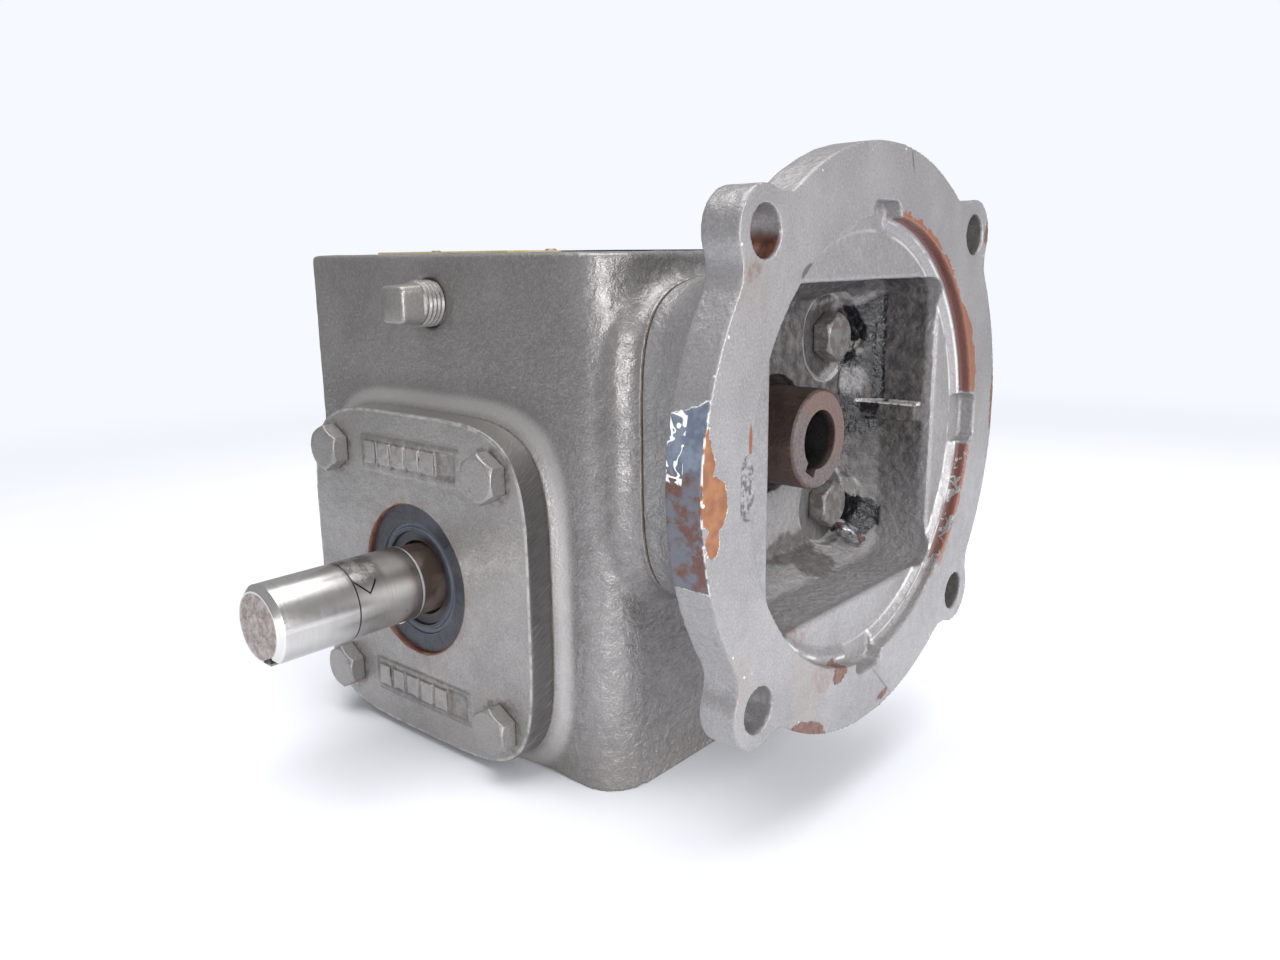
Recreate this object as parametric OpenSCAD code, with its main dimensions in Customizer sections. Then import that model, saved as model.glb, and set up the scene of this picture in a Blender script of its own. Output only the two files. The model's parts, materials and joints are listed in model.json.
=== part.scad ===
// Right-angle worm gear speed reducer with a motor flange and a hollow motor quill.
// Frame: the origin is the centre of the motor flange face, +X points out of the flange along the
// worm, the output shaft points along -Y, and +Z is up. All lengths are in millimetres.

/* [Gear set] */
// distance between the worm axis and the output shaft axis
centre_distance = 44.45; // [44.0:0.05:45.0]
// pitch diameter of the worm
worm_pitch_d = 22.9; // [22.4:0.1:23.4]
// number of teeth on the worm gear, with a single-start worm
gear_teeth = 20; // [18:1:22]
// half of the play between thread and tooth, measured along the worm
flank_play = 0.14; // [0.10:0.01:0.25]

/* [Motor flange] */
// diameter of the circle through the motor bolt holes
motor_bolt_circle = 149.225; // [149.0:0.025:149.5]
// diameter of the motor bolt holes
motor_hole_d = 11.1; // [10.3:0.1:12]
// diameter of the register recess that centres the motor
register_d = 114.3; // [114.2:0.05:114.5]
// depth of the register recess
register_depth = 3.3; // [3:0.1:4]
// diameter of the round part of the flange
flange_d = 148.4; // [146:0.2:152]
// thickness of the flange plate
flange_t = 10; // [9:0.5:12]
// bore of the motor quill
quill_bore_d = 15.9; // [15.88:0.01:16.1]
// outer diameter of the motor quill
quill_d = 27; // [26:0.5:27]

/* [Housing] */
// width of the housing across the output shaft direction
housing_w = 96.8; // [94:0.2:100]
// height of the top face above the worm axis
top_z = 49.4; // [48:0.2:52]
// depth of the bottom face below the worm axis
base_z = 96; // [95:0.5:100]
// wall thickness of the casting
wall = 7; // [6:0.5:8]

/* [Output shaft] */
// diameter of the output shaft extension
shaft_d = 22.22; // [21:0.01:23]
// length of the extension from the cover face
shaft_reach = 49.5; // [45:0.5:55]
// diameter of the bolt circle of the output cover
cover_bolt_circle = 101.6; // [100:0.2:103]

/* [Hidden] */
$fn = 64;
e = 0.01;
// stations along the worm axis
housing_right = -48;
housing_left = -181;
gear_x = -117.4;
joint_x = -42;
quill_end = -17;
gasket_t = 0.4;
boss_right = joint_x - gasket_t;
pocket_back = -21;
back_plate_x = -31.5;
screw_seat_x = -32.3;
screw_tip_x = -57;
screw_off_y = 27;
screw_off_z = 24.7;
// stations along the output shaft
front_y = -housing_w / 2;
back_y = housing_w / 2;
boss_front = front_y - 2.8;
cover_back = boss_front - gasket_t;
cover_t = 8;
cover_face = cover_back - cover_t;
shaft_end = cover_face - shaft_reach;
neck_start = cover_face - 4.2;
// cover
cover_half = 49.7;
cover_power = 4.5;
spigot_r = 32;
cover_bolt_off = cover_bolt_circle / 2 * cos(45);
// neck of the motor adapter
neck_half_y = 43.9;
neck_half_z = 43.5;
neck_power = 4;
// seals
seal_r = 22.5;
seal_face = cover_face + 1.3;
seal_t = 7;
neck_r = 10.4;
seal_run = 0.05;
quill_seal_t = 7.6;
// ball bearings: bore radius, outer radius, width
front_worm = [15, 27.5, 13];
back_worm = [8.5, 20, 12];
front_out = [12.5, 26, 15];
back_out = [10, 23.5, 14];
front_worm_x = -63.4;
back_worm_x = -170.4;
front_out_y = -50;
back_out_y = 28.4;
ball_share = 0.2;
ball_play = 0.2;
// gear set
gear_pitch_r = centre_distance - worm_pitch_d / 2;
axial_module = 2 * gear_pitch_r / gear_teeth;
lead = PI * axial_module;
thread_tip_r = worm_pitch_d / 2 + axial_module;
thread_root_r = worm_pitch_d / 2 - 1.2 * axial_module;
gear_throat_r = gear_pitch_r + axial_module - 0.15;
gear_root_r = gear_pitch_r - 1.2 * axial_module;
gear_tip_r = gear_pitch_r + 1.2 * axial_module;
gear_face = 16;
gear_hub_r = 21;
gear_hub_w = 30;
gear_bore_r = 14;
pressure_angle = 20;
thread_turns = 4.2;
thread_len = thread_turns * lead;
helix_per_mm = atan(lead / (PI * worm_pitch_d));
// fasteners
hex_af = 12.7;
hex_h = 5.3;
screw_r = 3.9;
tap_play = 0.05;
key_w = 4.76;
gear_key_w = 6.35;
plug_r = 6.8;
plug_square = 11.2;
plug_x = -118;
plug_z = 35.5;
drain_x = -117.4;
drain_z = -82;
// tapped holes in the base
base_hole_x = 50;
base_hole_y = 36;
base_hole_r = 4;
base_hole_depth = 14;
// plates on the top face
plate_x0 = -167;
plate_x1 = -104;
plate_y0 = -30;
plate_y1 = 12;
plate_t = 0.6;
plate_mid_y = (plate_y0 + plate_y1) / 2;
pin_in = 3.5;
// flange outline
hole_off = motor_bolt_circle / 2 * cos(45);
ear_r = 9.6;
blend_r = 9;
relief_floor = -5;
relief_low_r = 53.6;
relief_edge_r = 55.9;
relief_z = 0.8;
pocket_half_y = 42;
pocket_half_z = 41.3;
spot_r = 12.5;

// a tube or disc along X from x0 to x1
module bar_x(x0, x1, r, y = 0, z = 0) {
  translate([x0, y, z]) rotate([0, 90, 0]) cylinder(h = x1 - x0, r = r);
}

// a cylinder along Y from y0 to y1, by default on the output shaft axis
module bar_y(y0, y1, r, x = gear_x, z = -centre_distance) {
  translate([x, y1, z]) rotate([90, 0, 0]) cylinder(h = y1 - y0, r = r);
}

// a profile of [radius, x] points turned about the worm axis
module turn_x(profile) {
  rotate([0, 90, 0]) rotate_extrude() polygon(profile);
}

// a profile of [radius, y] points turned about the output shaft axis
module turn_y(profile) {
  translate([gear_x, 0, -centre_distance])
    rotate([-90, 0, 0]) rotate_extrude() polygon(profile);
}

// a block given by its two corners
module block(from, to) {
  translate(from) cube(to - from);
}

// one coordinate of a rounded square with bulging sides
function bulge(v, power) = sign(v) * pow(abs(v), 2 / power);

// rounded square with bulging sides
module bulged_square(half_u, half_v, power) {
  polygon([for (i = [0 : 95]) let (a = i * 3.75)
    [half_u * bulge(cos(a), power), half_v * bulge(sin(a), power)]]);
}

// cover outline standing between y0 and y1
module cover_slab(y0, y1, half = cover_half) {
  translate([gear_x, y1, -centre_distance]) rotate([90, 0, 0])
    linear_extrude(y1 - y0) bulged_square(half, half, cover_power);
}

// neck outline standing between x0 and x1
module neck_slab(x0, x1, grow = 0) {
  translate([x0, 0, 0]) rotate([90, 0, 90]) linear_extrude(x1 - x0)
    bulged_square(neck_half_y + grow, neck_half_z + grow, neck_power);
}

// the four corner posts of a rounded square standing between x0 and x1
module corner_posts(x0, x1, half_y, half_z, round_r) {
  for (sy = [-1, 1], sz = [-1, 1])
    bar_x(x0, x1, round_r, sy * (half_y - round_r), sz * (half_z - round_r));
}

// four copies at the corners of the output cover bolt square
module at_cover_bolts() {
  for (sx = [-1, 1], sz = [-1, 1])
    translate([gear_x + sx * cover_bolt_off, 0, sz * cover_bolt_off - centre_distance]) children();
}

// four copies at the adapter screws
module at_adapter_screws() {
  for (sy = [-1, 1], sz = [-1, 1])
    translate([0, sy * screw_off_y, sz * screw_off_z]) children();
}

// four copies at the motor bolt holes
module at_motor_holes() {
  for (sy = [-1, 1], sz = [-1, 1])
    translate([0, sy * hole_off, sz * hole_off]) children();
}

// housing block with rounded vertical corners, wide on the motor side
module housing_block() {
  near_r = 12;
  far_r = 6;
  block([housing_left + far_r, front_y, -base_z], [housing_right - near_r, back_y, top_z]);
  block([housing_left, front_y + far_r, -base_z], [housing_left + 2 * far_r, back_y - far_r, top_z]);
  block([housing_right - 2 * near_r, front_y + near_r, -base_z],
    [housing_right, back_y - near_r, top_z]);
  for (s = [-1, 1]) {
    translate([housing_left + far_r, s * (back_y - far_r), -base_z])
      cylinder(h = base_z + top_z, r = far_r);
    translate([housing_right - near_r, s * (back_y - near_r), -base_z])
      cylinder(h = base_z + top_z, r = near_r);
  }
}

// room for the gear set inside the casting
module housing_room() {
  chamber_r = 44.8;
  block([housing_left + wall, front_y + wall, -centre_distance],
    [housing_right - wall, back_y - wall, top_z - wall]);
  bar_y(front_y + wall, back_y - wall, chamber_r);
}

// bosses that carry the bearings, the screws and the plugs inside the room
module housing_pads() {
  input_boss_r = 42;
  back_boss_r = 27;
  out_boss_r = 30;
  pad_r = 8.5;
  bar_x(front_worm_x - 2.6, housing_right, input_boss_r);
  bar_x(housing_left + 1, back_worm_x + back_worm[2] + 2.6, back_boss_r);
  bar_y(back_out_y - 0.4, back_y - 1, out_boss_r);
  at_cover_bolts() bar_y(front_y + 1, -33, pad_r, 0, 0);
}

// sloped feet that blend the cover boss and the neck boss into the walls
module boss_flares() {
  foot = 4.5;
  neck_foot = 3;
  sunk = 0.2;
  intersection() {
    hull() {
      cover_slab(front_y - 0.1, front_y + 1, cover_half + foot);
      cover_slab(boss_front + 0.5, front_y + 1, cover_half - sunk);
    }
    block([housing_left, boss_front, -base_z], [housing_right, 0, top_z]);
  }
  hull() {
    neck_slab(housing_right - wall + 1, housing_right + 0.1, neck_foot);
    neck_slab(housing_right - wall + 1, housing_right + neck_foot, -sunk);
  }
}

module housing() {
  color("#8d8b88") difference() {
    union() {
      difference() {
        housing_block();
        housing_room();
      }
      intersection() {
        housing_block();
        housing_pads();
      }
      boss_flares();
      cover_slab(boss_front, front_y + 1);
      neck_slab(housing_right - wall + 1, boss_right);
    }
    // front opening for the cover spigot
    bar_y(boss_front - 1, front_y + wall + 10, spigot_r);
    // pocket of the far output bearing
    bar_y(back_out_y - 1, back_out_y + back_out[2], back_out[1]);
    // front worm bearing and seal bore, and the way through its shoulder
    bar_x(front_worm_x, boss_right + 1, front_worm[1]);
    bar_x(front_worm_x - 3, front_worm_x + e, 21);
    // rear worm bearing bore, its shoulder, its ring groove
    bar_x(housing_left - 1, back_worm_x + back_worm[2], back_worm[1]);
    bar_x(back_worm_x + 1, back_worm_x + back_worm[2] + 3, 13.5);
    bar_x(back_worm_x - 2.2, back_worm_x - 0.2, back_worm[1] + 1.2);
    // tapped holes of the cover screws and the adapter screws
    at_cover_bolts() bar_y(boss_front - 1, -35, screw_r + tap_play, 0, 0);
    at_adapter_screws() bar_x(-59, boss_right + 1, screw_r + tap_play);
    // plug holes
    bar_y(boss_front, front_y + wall + 1, plug_r, plug_x, plug_z);
    bar_y(back_y - wall - 1, back_y + 1, plug_r, plug_x, plug_z);
    bar_y(back_y - wall - 1, back_y + 1, plug_r, drain_x, drain_z);
    // tapped holes in the base
    for (sx = [-1, 1], sy = [-1, 1])
      translate([gear_x + 3 + sx * base_hole_x, sy * base_hole_y, -base_z - 1])
        cylinder(h = base_hole_depth + 1, r = base_hole_r);
  }
}

// flange plate with four ears that blend into the round part
module flange_plate() {
  translate([-flange_t, 0, 0]) rotate([90, 0, 90]) linear_extrude(flange_t)
    offset(r = -blend_r) offset(r = blend_r) {
      circle(d = flange_d, $fn = 120);
      for (sy = [-1, 1], sz = [-1, 1])
        translate([sy * hole_off, sz * hole_off]) circle(r = ear_r, $fn = 40);
    }
}

// rounded slots that widen the recess at the four quarter points
module register_notches() {
  half_w = 7;
  reach = 60.4;
  corner_r = 2.5;
  inner = 46;
  for (a = [0 : 90 : 270]) rotate([a, 0, 0]) {
    block([relief_floor, inner, -half_w], [1, reach - corner_r, half_w]);
    block([relief_floor, inner, -half_w + corner_r], [1, reach, half_w - corner_r]);
    for (s = [-1, 1])
      bar_x(relief_floor, 1, corner_r, reach - corner_r, s * (half_w - corner_r));
  }
}

// pocket of the motor adapter: square at the mouth, narrowing to the plate at its back
module adapter_pocket() {
  corner_r = 6;
  back_r = 12;
  taper = 6;
  flat_y = pocket_half_y - corner_r;
  flat_z = pocket_half_z - corner_r;
  block([pocket_back, -flat_y, -pocket_half_z], [1, flat_y, pocket_half_z]);
  block([pocket_back, -pocket_half_y, -flat_z], [1, pocket_half_y, flat_z]);
  corner_posts(pocket_back, 1, pocket_half_y, pocket_half_z, corner_r);
  hull() {
    corner_posts(pocket_back, pocket_back + 1, pocket_half_y, pocket_half_z, corner_r);
    corner_posts(back_plate_x, back_plate_x + 0.2, pocket_half_y - taper, pocket_half_z - taper,
      back_r);
  }
}

module motor_adapter() {
  flare_x = -36;
  end_half_y = 49.3;
  end_half_z = 50.3;
  end_r = 8;
  color("#9a9896") difference() {
    union() {
      flange_plate();
      neck_slab(joint_x, flare_x);
      hull() {
        neck_slab(flare_x - 1, flare_x);
        corner_posts(-flange_t, -flange_t + 2, end_half_y, end_half_z, end_r);
      }
    }
    // register recess, and the cast relief with a sloped edge inside it
    bar_x(-register_depth, 1, register_d / 2);
    translate([relief_floor, 0, relief_z]) rotate([0, 90, 0])
      cylinder(h = -relief_floor - register_depth + e, r1 = relief_low_r, r2 = relief_edge_r);
    register_notches();
    adapter_pocket();
    // seats and holes of the housing screws, and the way through for the quill
    at_adapter_screws() bar_x(screw_seat_x, pocket_back + 1, spot_r);
    at_adapter_screws() bar_x(joint_x - 1, screw_seat_x + 1, screw_r + 0.3);
    bar_x(joint_x - 1, back_plate_x + 1, 16);
    at_motor_holes() bar_x(-flange_t - 1, 1, motor_hole_d / 2);
  }
  // rib on the far pocket wall
  color("#9a9896")
    block([back_plate_x + 1, pocket_half_y - 3, 0], [-9, pocket_half_y + 0.5, 5.5]);
}

module adapter_gasket() {
  color("#6b5a3c") difference() {
    neck_slab(boss_right, joint_x, -0.3);
    bar_x(boss_right - 1, joint_x + 1, 26);
    at_adapter_screws() bar_x(boss_right - 1, joint_x + 1, screw_r + 0.3);
  }
}

// hex head cap screw pointing along -X with its seat at x = 0
module hex_screw_x(shank) {
  chamfer = 0.9;
  intersection() {
    rotate([0, 90, 0]) cylinder(h = hex_h, d = hex_af / cos(30), $fn = 6);
    rotate([0, 90, 0]) rotate_extrude()
      polygon([[0, 0], [hex_af / 2 + 2, 0], [hex_af / 2 + 2, hex_h - 2 * chamfer],
        [hex_af / 2 - 0.4, hex_h], [0, hex_h]]);
  }
  bar_x(-shank, e, screw_r);
}

module adapter_screws() {
  color("#77736d") at_adapter_screws() translate([screw_seat_x, 0, 0])
    hex_screw_x(screw_seat_x - screw_tip_x);
}

module cover_screws() {
  color("#8a8884") at_cover_bolts() translate([0, cover_face, 0]) rotate([0, 0, -90]) hex_screw_x(22);
}

module input_seal() {
  inner = quill_d / 2 + seal_run;
  x1 = boss_right;
  x0 = x1 - quill_seal_t;
  color("#3b3b3d") turn_x([[inner, x0 + 2], [inner + 1, x0 + 1], [inner + 2.5, x0 + 3],
    [inner + 2.5, x1 - 2], [24.5, x1 - 2], [24.5, x0 + 1], [23.5, x0], [front_worm[1], x0],
    [front_worm[1], x1], [inner + 0.8, x1], [inner, x1 - 1]]);
}

// radii of a ball bearing made from [bore, outer, width]
function race_mid(b) = (b[0] + b[1]) / 2;
function ball_r(b) = race_mid(b) * ball_share;
function inner_land(b) = race_mid(b) - 0.5 * ball_r(b);
function outer_land(b) = race_mid(b) + 0.5 * ball_r(b);

// profile of one bearing ring, turned about Z, with a groove for the balls
module ring_profile(b, r0, r1) {
  difference() {
    translate([r0, 0]) square([r1 - r0, b[2]]);
    translate([race_mid(b), b[2] / 2]) circle(r = ball_r(b) + ball_play, $fn = 48);
  }
}

module outer_ring(b) {
  color("#a9abad") rotate_extrude() ring_profile(b, outer_land(b), b[1]);
}

module inner_ring(b) {
  color("#a9abad") rotate_extrude() ring_profile(b, b[0], inner_land(b));
}

// number of balls that fit between the cage webs
function ball_count(b) = floor(180 / asin(ball_r(b) * 1.35 / race_mid(b)));

module balls(b) {
  n = ball_count(b);
  color("#c9cccf") for (i = [0 : n - 1])
    rotate([0, 0, i * 360 / n]) translate([race_mid(b), 0, b[2] / 2]) sphere(r = ball_r(b), $fn = 32);
}

module cage(b) {
  n = ball_count(b);
  half_t = 0.75;
  half_w = ball_r(b) * 1.25;
  color("#b08a4a") difference() {
    translate([0, 0, b[2] / 2 - half_w]) cylinder(h = 2 * half_w, r = race_mid(b) + half_t);
    translate([0, 0, b[2] / 2 - half_w - 1])
      cylinder(h = 2 * half_w + 2, r = race_mid(b) - half_t);
    for (i = [0 : n - 1])
      rotate([0, 0, i * 360 / n]) translate([race_mid(b) - 3, 0, b[2] / 2]) rotate([0, 90, 0])
        cylinder(h = 6, r = ball_r(b) + 0.1);
  }
}

// places a bearing made along Z on the worm axis or on the output axis
module on_worm(x) {
  translate([x, 0, 0]) rotate([0, 90, 0]) children();
}
module on_output(y) {
  translate([gear_x, y, -centre_distance]) rotate([-90, 0, 0]) children();
}

module worm_front_outer_ring() { on_worm(front_worm_x) outer_ring(front_worm); }
module worm_front_inner_ring() { on_worm(front_worm_x) inner_ring(front_worm); }
module worm_front_balls() { on_worm(front_worm_x) balls(front_worm); }
module worm_front_cage() { on_worm(front_worm_x) cage(front_worm); }
module worm_back_outer_ring() { on_worm(back_worm_x) outer_ring(back_worm); }
module worm_back_inner_ring() { on_worm(back_worm_x) inner_ring(back_worm); }
module worm_back_balls() { on_worm(back_worm_x) balls(back_worm); }
module worm_back_cage() { on_worm(back_worm_x) cage(back_worm); }
module output_front_outer_ring() { on_output(front_out_y) outer_ring(front_out); }
module output_front_inner_ring() { on_output(front_out_y) inner_ring(front_out); }
module output_front_balls() { on_output(front_out_y) balls(front_out); }
module output_front_cage() { on_output(front_out_y) cage(front_out); }
module output_back_outer_ring() { on_output(back_out_y) outer_ring(back_out); }
module output_back_inner_ring() { on_output(back_out_y) inner_ring(back_out); }
module output_back_balls() { on_output(back_out_y) balls(back_out); }
module output_back_cage() { on_output(back_out_y) cage(back_out); }

// corners of the worm thread section at one turn angle
thread_tip_half = lead / 4 - flank_play - axial_module * tan(pressure_angle);
thread_root_half = lead / 4 - flank_play + (1.2 * axial_module + 0.4) * tan(pressure_angle);
thread_steps = 24;
function thread_ring(a, x) = [
  for (c = [[-thread_root_half, thread_root_r - 0.4], [thread_root_half, thread_root_r - 0.4],
    [thread_tip_half, thread_tip_r], [-thread_tip_half, thread_tip_r]])
  [x + c[0], c[1] * cos(a), c[1] * sin(a)]];

// helical thread, right-handed, centred on the gear below it
module worm_thread() {
  count = round(thread_turns * thread_steps);
  rings = [for (i = [0 : count]) let (a = (i - count / 2) * 360 / thread_steps)
    thread_ring(a - 90, gear_x + lead * a / 360)];
  sides = [for (i = [0 : count - 1], k = [0 : 3]) let (n = (k + 1) % 4)
    [4 * i + 4 + k, 4 * i + 4 + n, 4 * i + n, 4 * i + k]];
  triangles = [for (q = sides) each [[q[0], q[1], q[2]], [q[0], q[2], q[3]]]];
  last = 4 * count;
  ends = [[1, 2, 3], [0, 1, 3], [last + 2, last + 1, last], [last + 3, last + 2, last]];
  polyhedron([for (r = rings) each r], concat(triangles, ends));
}

module worm_shaft() {
  x_front = front_worm_x + front_worm[2];
  x_back = back_worm_x + back_worm[2];
  x_tail = back_worm_x - 3.6;
  root = thread_root_r;
  half = thread_len / 2 + 3;
  q = quill_d / 2;
  color("#7d5c48") difference() {
    union() {
      turn_x([[0, x_tail], [back_worm[0] - 0.8, x_tail], [back_worm[0], x_tail + 0.8],
        [back_worm[0], x_back], [10, x_back], [10, gear_x - half - 4], [root, gear_x - half],
        [root, gear_x + half], [11, gear_x + half + 5], [11, front_worm_x - 6],
        [18, front_worm_x - 4], [18, front_worm_x], [front_worm[0], front_worm_x],
        [front_worm[0], x_front], [q, x_front + 1], [q, quill_end - 0.8],
        [q - 0.8, quill_end], [0, quill_end]]);
      worm_thread();
    }
    // motor shaft bore with its keyway, and the groove of the retaining ring
    bar_x(-57, quill_end + 1, quill_bore_d / 2);
    rotate([150, 0, 0])
      block([-54, -key_w / 2, 0], [quill_end + 1, key_w / 2, quill_bore_d / 2 + 2.2]);
    difference() {
      bar_x(back_worm_x - 1.9, back_worm_x - 0.5, back_worm[0] + 1);
      bar_x(back_worm_x - 3, back_worm_x, back_worm[0] - 0.6);
    }
  }
}

// split spring ring about the worm axis
module split_ring(x0, x1, r_in, r_out) {
  difference() {
    bar_x(x0, x1, r_out);
    bar_x(x0 - 1, x1 + 1, r_in);
    block([x0 - 1, -2.5, 0], [x1 + 1, 2.5, r_out + 2]);
  }
}

module bore_retaining_ring() {
  color("#4c4d50")
    split_ring(back_worm_x - 2, back_worm_x - 0.4, back_worm[1] - 2.6, back_worm[1] + 1.1);
}

module worm_retaining_ring() {
  color("#4c4d50")
    split_ring(back_worm_x - 1.8, back_worm_x - 0.6, back_worm[0] - 0.5, back_worm[0] + 2.2);
}

module worm_end_cap() {
  x1 = housing_left + 5.4;
  rim = 1.6;
  color("#87857f") difference() {
    bar_x(housing_left + 1, x1, back_worm[1]);
    bar_x(housing_left + 1 + rim, x1 + 1, back_worm[1] - rim);
  }
}

// involute of the base circle, r_base, reached at radius r
function involute_angle(r, r_base) = let (t = acos(r_base / r)) tan(t) * 180 / PI - t;

// points of one toothed section of the gear whose tips reach r_tip, turned by the angle turn
flank_steps = 3;
function tooth_half(r) = (lead / 4 - flank_play) / gear_pitch_r * 180 / PI
  + involute_angle(gear_pitch_r, gear_base_r) - involute_angle(r, gear_base_r);
function flank_point(i, r_tip) = let (r = flank_low_r + (r_tip - flank_low_r) * i / flank_steps)
  [r, max(tooth_half(r), 0.4)];
function gear_ring(y, r_tip, turn) = [for (t = [0 : gear_teeth - 1])
  let (c = (t + 0.5) * 360 / gear_teeth + 90 + turn, low = tooth_half(flank_low_r) + 0.3)
  each [for (p = concat([[gear_root_r, -low]],
      [for (i = [0 : flank_steps]) let (q = flank_point(i, r_tip)) [q[0], -q[1]]],
      [for (i = [flank_steps : -1 : 0]) flank_point(i, r_tip)], [[gear_root_r, low]]))
    [p[0] * cos(c + p[1]), y, p[0] * sin(c + p[1])]]];
gear_base_r = gear_pitch_r * cos(pressure_angle);
flank_low_r = max(gear_base_r, gear_root_r + 0.6);

// toothed body whose tips follow the round of the worm across the face
module gear_teeth_body() {
  slices = 6;
  throat = centre_distance - gear_throat_r;
  turn_per_mm = tan(helix_per_mm) / gear_pitch_r * 180 / PI;
  rings = [for (k = [0 : slices]) let (y = gear_face * (k / slices - 0.5),
      r_tip = min(gear_tip_r, centre_distance - sqrt(max(throat * throat - y * y, 1))))
    gear_ring(y, r_tip, -y * turn_per_mm)];
  n = len(rings[0]);
  sides = [for (k = [0 : slices - 1], i = [0 : n - 1]) let (j = (i + 1) % n)
    each [[k * n + i, k * n + j, k * n + n + j], [k * n + i, k * n + n + j, k * n + n + i]]];
  first_hub = (slices + 1) * n;
  caps = [for (i = [0 : n - 1]) let (j = (i + 1) % n)
    each [[first_hub, j, i], [first_hub + 1, slices * n + i, slices * n + j]]];
  polyhedron(concat([for (r = rings) each r],
    [[0, -gear_face / 2, 0], [0, gear_face / 2, 0]]), concat(sides, caps));
}

module worm_gear() {
  web = 4;
  rim_r = 25.5;
  color("#b5853f") difference() {
    union() {
      translate([gear_x, 0, -centre_distance]) gear_teeth_body();
      bar_y(-gear_hub_w / 2, gear_hub_w / 2, gear_hub_r);
    }
    // recesses on both sides between hub and rim
    for (s = [-1, 1]) translate([gear_x, s * (web + 4), -centre_distance]) rotate([90, 0, 0])
      difference() {
        cylinder(h = 8, r = rim_r, center = true);
        cylinder(h = 10, r = gear_hub_r - e, center = true);
      }
    bar_y(-20, 20, gear_bore_r);
    block([gear_x - gear_key_w / 2, -20, -centre_distance],
      [gear_x + gear_key_w / 2, 20, -centre_distance + gear_bore_r + 3.1]);
  }
}

module gear_key() {
  color("#8c8f92") block([gear_x - gear_key_w / 2, -13, -centre_distance + gear_bore_r - 3.2],
    [gear_x + gear_key_w / 2, 13, -centre_distance + gear_bore_r + 3]);
}

module gear_spacer() {
  color("#a5a7a9") difference() {
    bar_y(gear_hub_w / 2, back_out_y, 15.5);
    bar_y(gear_hub_w / 2 - 1, back_out_y + 1, 12.5);
  }
}

module output_shaft() {
  r = shaft_d / 2;
  cham = 1.6;
  y_race = front_out_y + front_out[2];
  y_tail = back_out_y + back_out[2] - 0.6;
  key_len = 41;
  key_turn = -23;
  color("#a9a6a2") difference() {
    turn_y([[0, shaft_end], [r - cham, shaft_end], [r, shaft_end + cham], [r, neck_start - 0.9],
      [neck_r + 0.1, neck_start], [neck_r, front_out_y - 0.6], [front_out[0], front_out_y],
      [front_out[0], y_race], [17.5, y_race], [17.5, -gear_hub_w / 2],
      [gear_bore_r, -gear_hub_w / 2], [gear_bore_r, gear_hub_w / 2], [12.5, gear_hub_w / 2],
      [12.5, back_out_y], [back_out[0], back_out_y], [back_out[0], y_tail - 1],
      [back_out[0] - 1, y_tail], [0, y_tail]]);
    // open keyway of the extension and the seat of the gear key
    translate([gear_x, shaft_end, -centre_distance]) rotate([0, key_turn, 0])
      block([-key_w / 2, -1, -r - 1], [key_w / 2, key_len, -r + 2.4]);
    block([gear_x - gear_key_w / 2, -13, -centre_distance + gear_bore_r - 3.2],
      [gear_x + gear_key_w / 2, 13, -centre_distance + gear_bore_r + 1]);
  }
}

module output_seal() {
  inner = neck_r + seal_run;
  y0 = seal_face;
  y1 = seal_face + seal_t;
  color("#4b5260") turn_y([[inner, y0 + 3], [inner + 0.9, y0 + 1.2], [14, y0 + 0.9], [14.4, y0],
    [15.6, y0], [15.9, y0 + 0.5], [16.8, y0 + 0.5], [17.1, y0], [seal_r, y0], [seal_r, y1],
    [19.5, y1], [19.5, y0 + 2], [15, y0 + 2], [14, y1 - 1], [inner + 0.8, y1 - 1]]);
}

// raised frame on the cover face, between two heights
module cover_frame(z0, z1) {
  x0 = gear_x - 21.5;
  x1 = gear_x + 23;
  rail = 1.2;
  rise = 0.7;
  difference() {
    block([x0, cover_face - rise, z0], [x1, cover_face + 1, z1]);
    block([x0 + rail, cover_face - rise - 1, z0 + rail], [x1 - rail, cover_face, z1 - rail]);
  }
}

module output_cover() {
  spigot_end = front_out_y + front_out[2] + 0.5;
  lip_r = 19;
  color("#8f8d8a") difference() {
    union() {
      cover_slab(cover_face, cover_back);
      bar_y(cover_face + 1, spigot_end, spigot_r);
      cover_frame(-13, -3);
      cover_frame(-84.4, -74.2);
    }
    bar_y(cover_face - 1, seal_face + seal_t, seal_r);
    bar_y(cover_face, front_out_y + 1, lip_r);
    bar_y(front_out_y, spigot_end + 1, front_out[1]);
    at_cover_bolts() bar_y(cover_face - 1, cover_back + 1, screw_r + 0.4, 0, 0);
  }
}

module cover_gasket() {
  color("#5b4a33") difference() {
    cover_slab(cover_back, boss_front, cover_half - 0.3);
    bar_y(cover_back - 1, boss_front + 1, spigot_r + 0.5);
    at_cover_bolts() bar_y(cover_back - 1, boss_front + 1, screw_r + 0.4, 0, 0);
  }
}

// square head pipe plug pointing along -Y from the plane y = 0
module pipe_plug() {
  stem = 5.4;
  head = 7.2;
  rotate([90, 0, 0]) {
    translate([0, 0, -wall + 1]) cylinder(h = stem + wall - 1, r = plug_r);
    translate([-plug_square / 2, -plug_square / 2, stem - e]) cube([plug_square, plug_square, head]);
  }
}

module level_plug() {
  color("#8b8986") translate([plug_x, front_y, plug_z]) pipe_plug();
}

module fill_plug() {
  color("#8b8986") translate([plug_x, back_y, plug_z]) rotate([0, 0, 180]) pipe_plug();
}

module drain_plug() {
  color("#8b8986") translate([drain_x, back_y, drain_z]) rotate([0, 0, 180]) pipe_plug();
}

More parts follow.
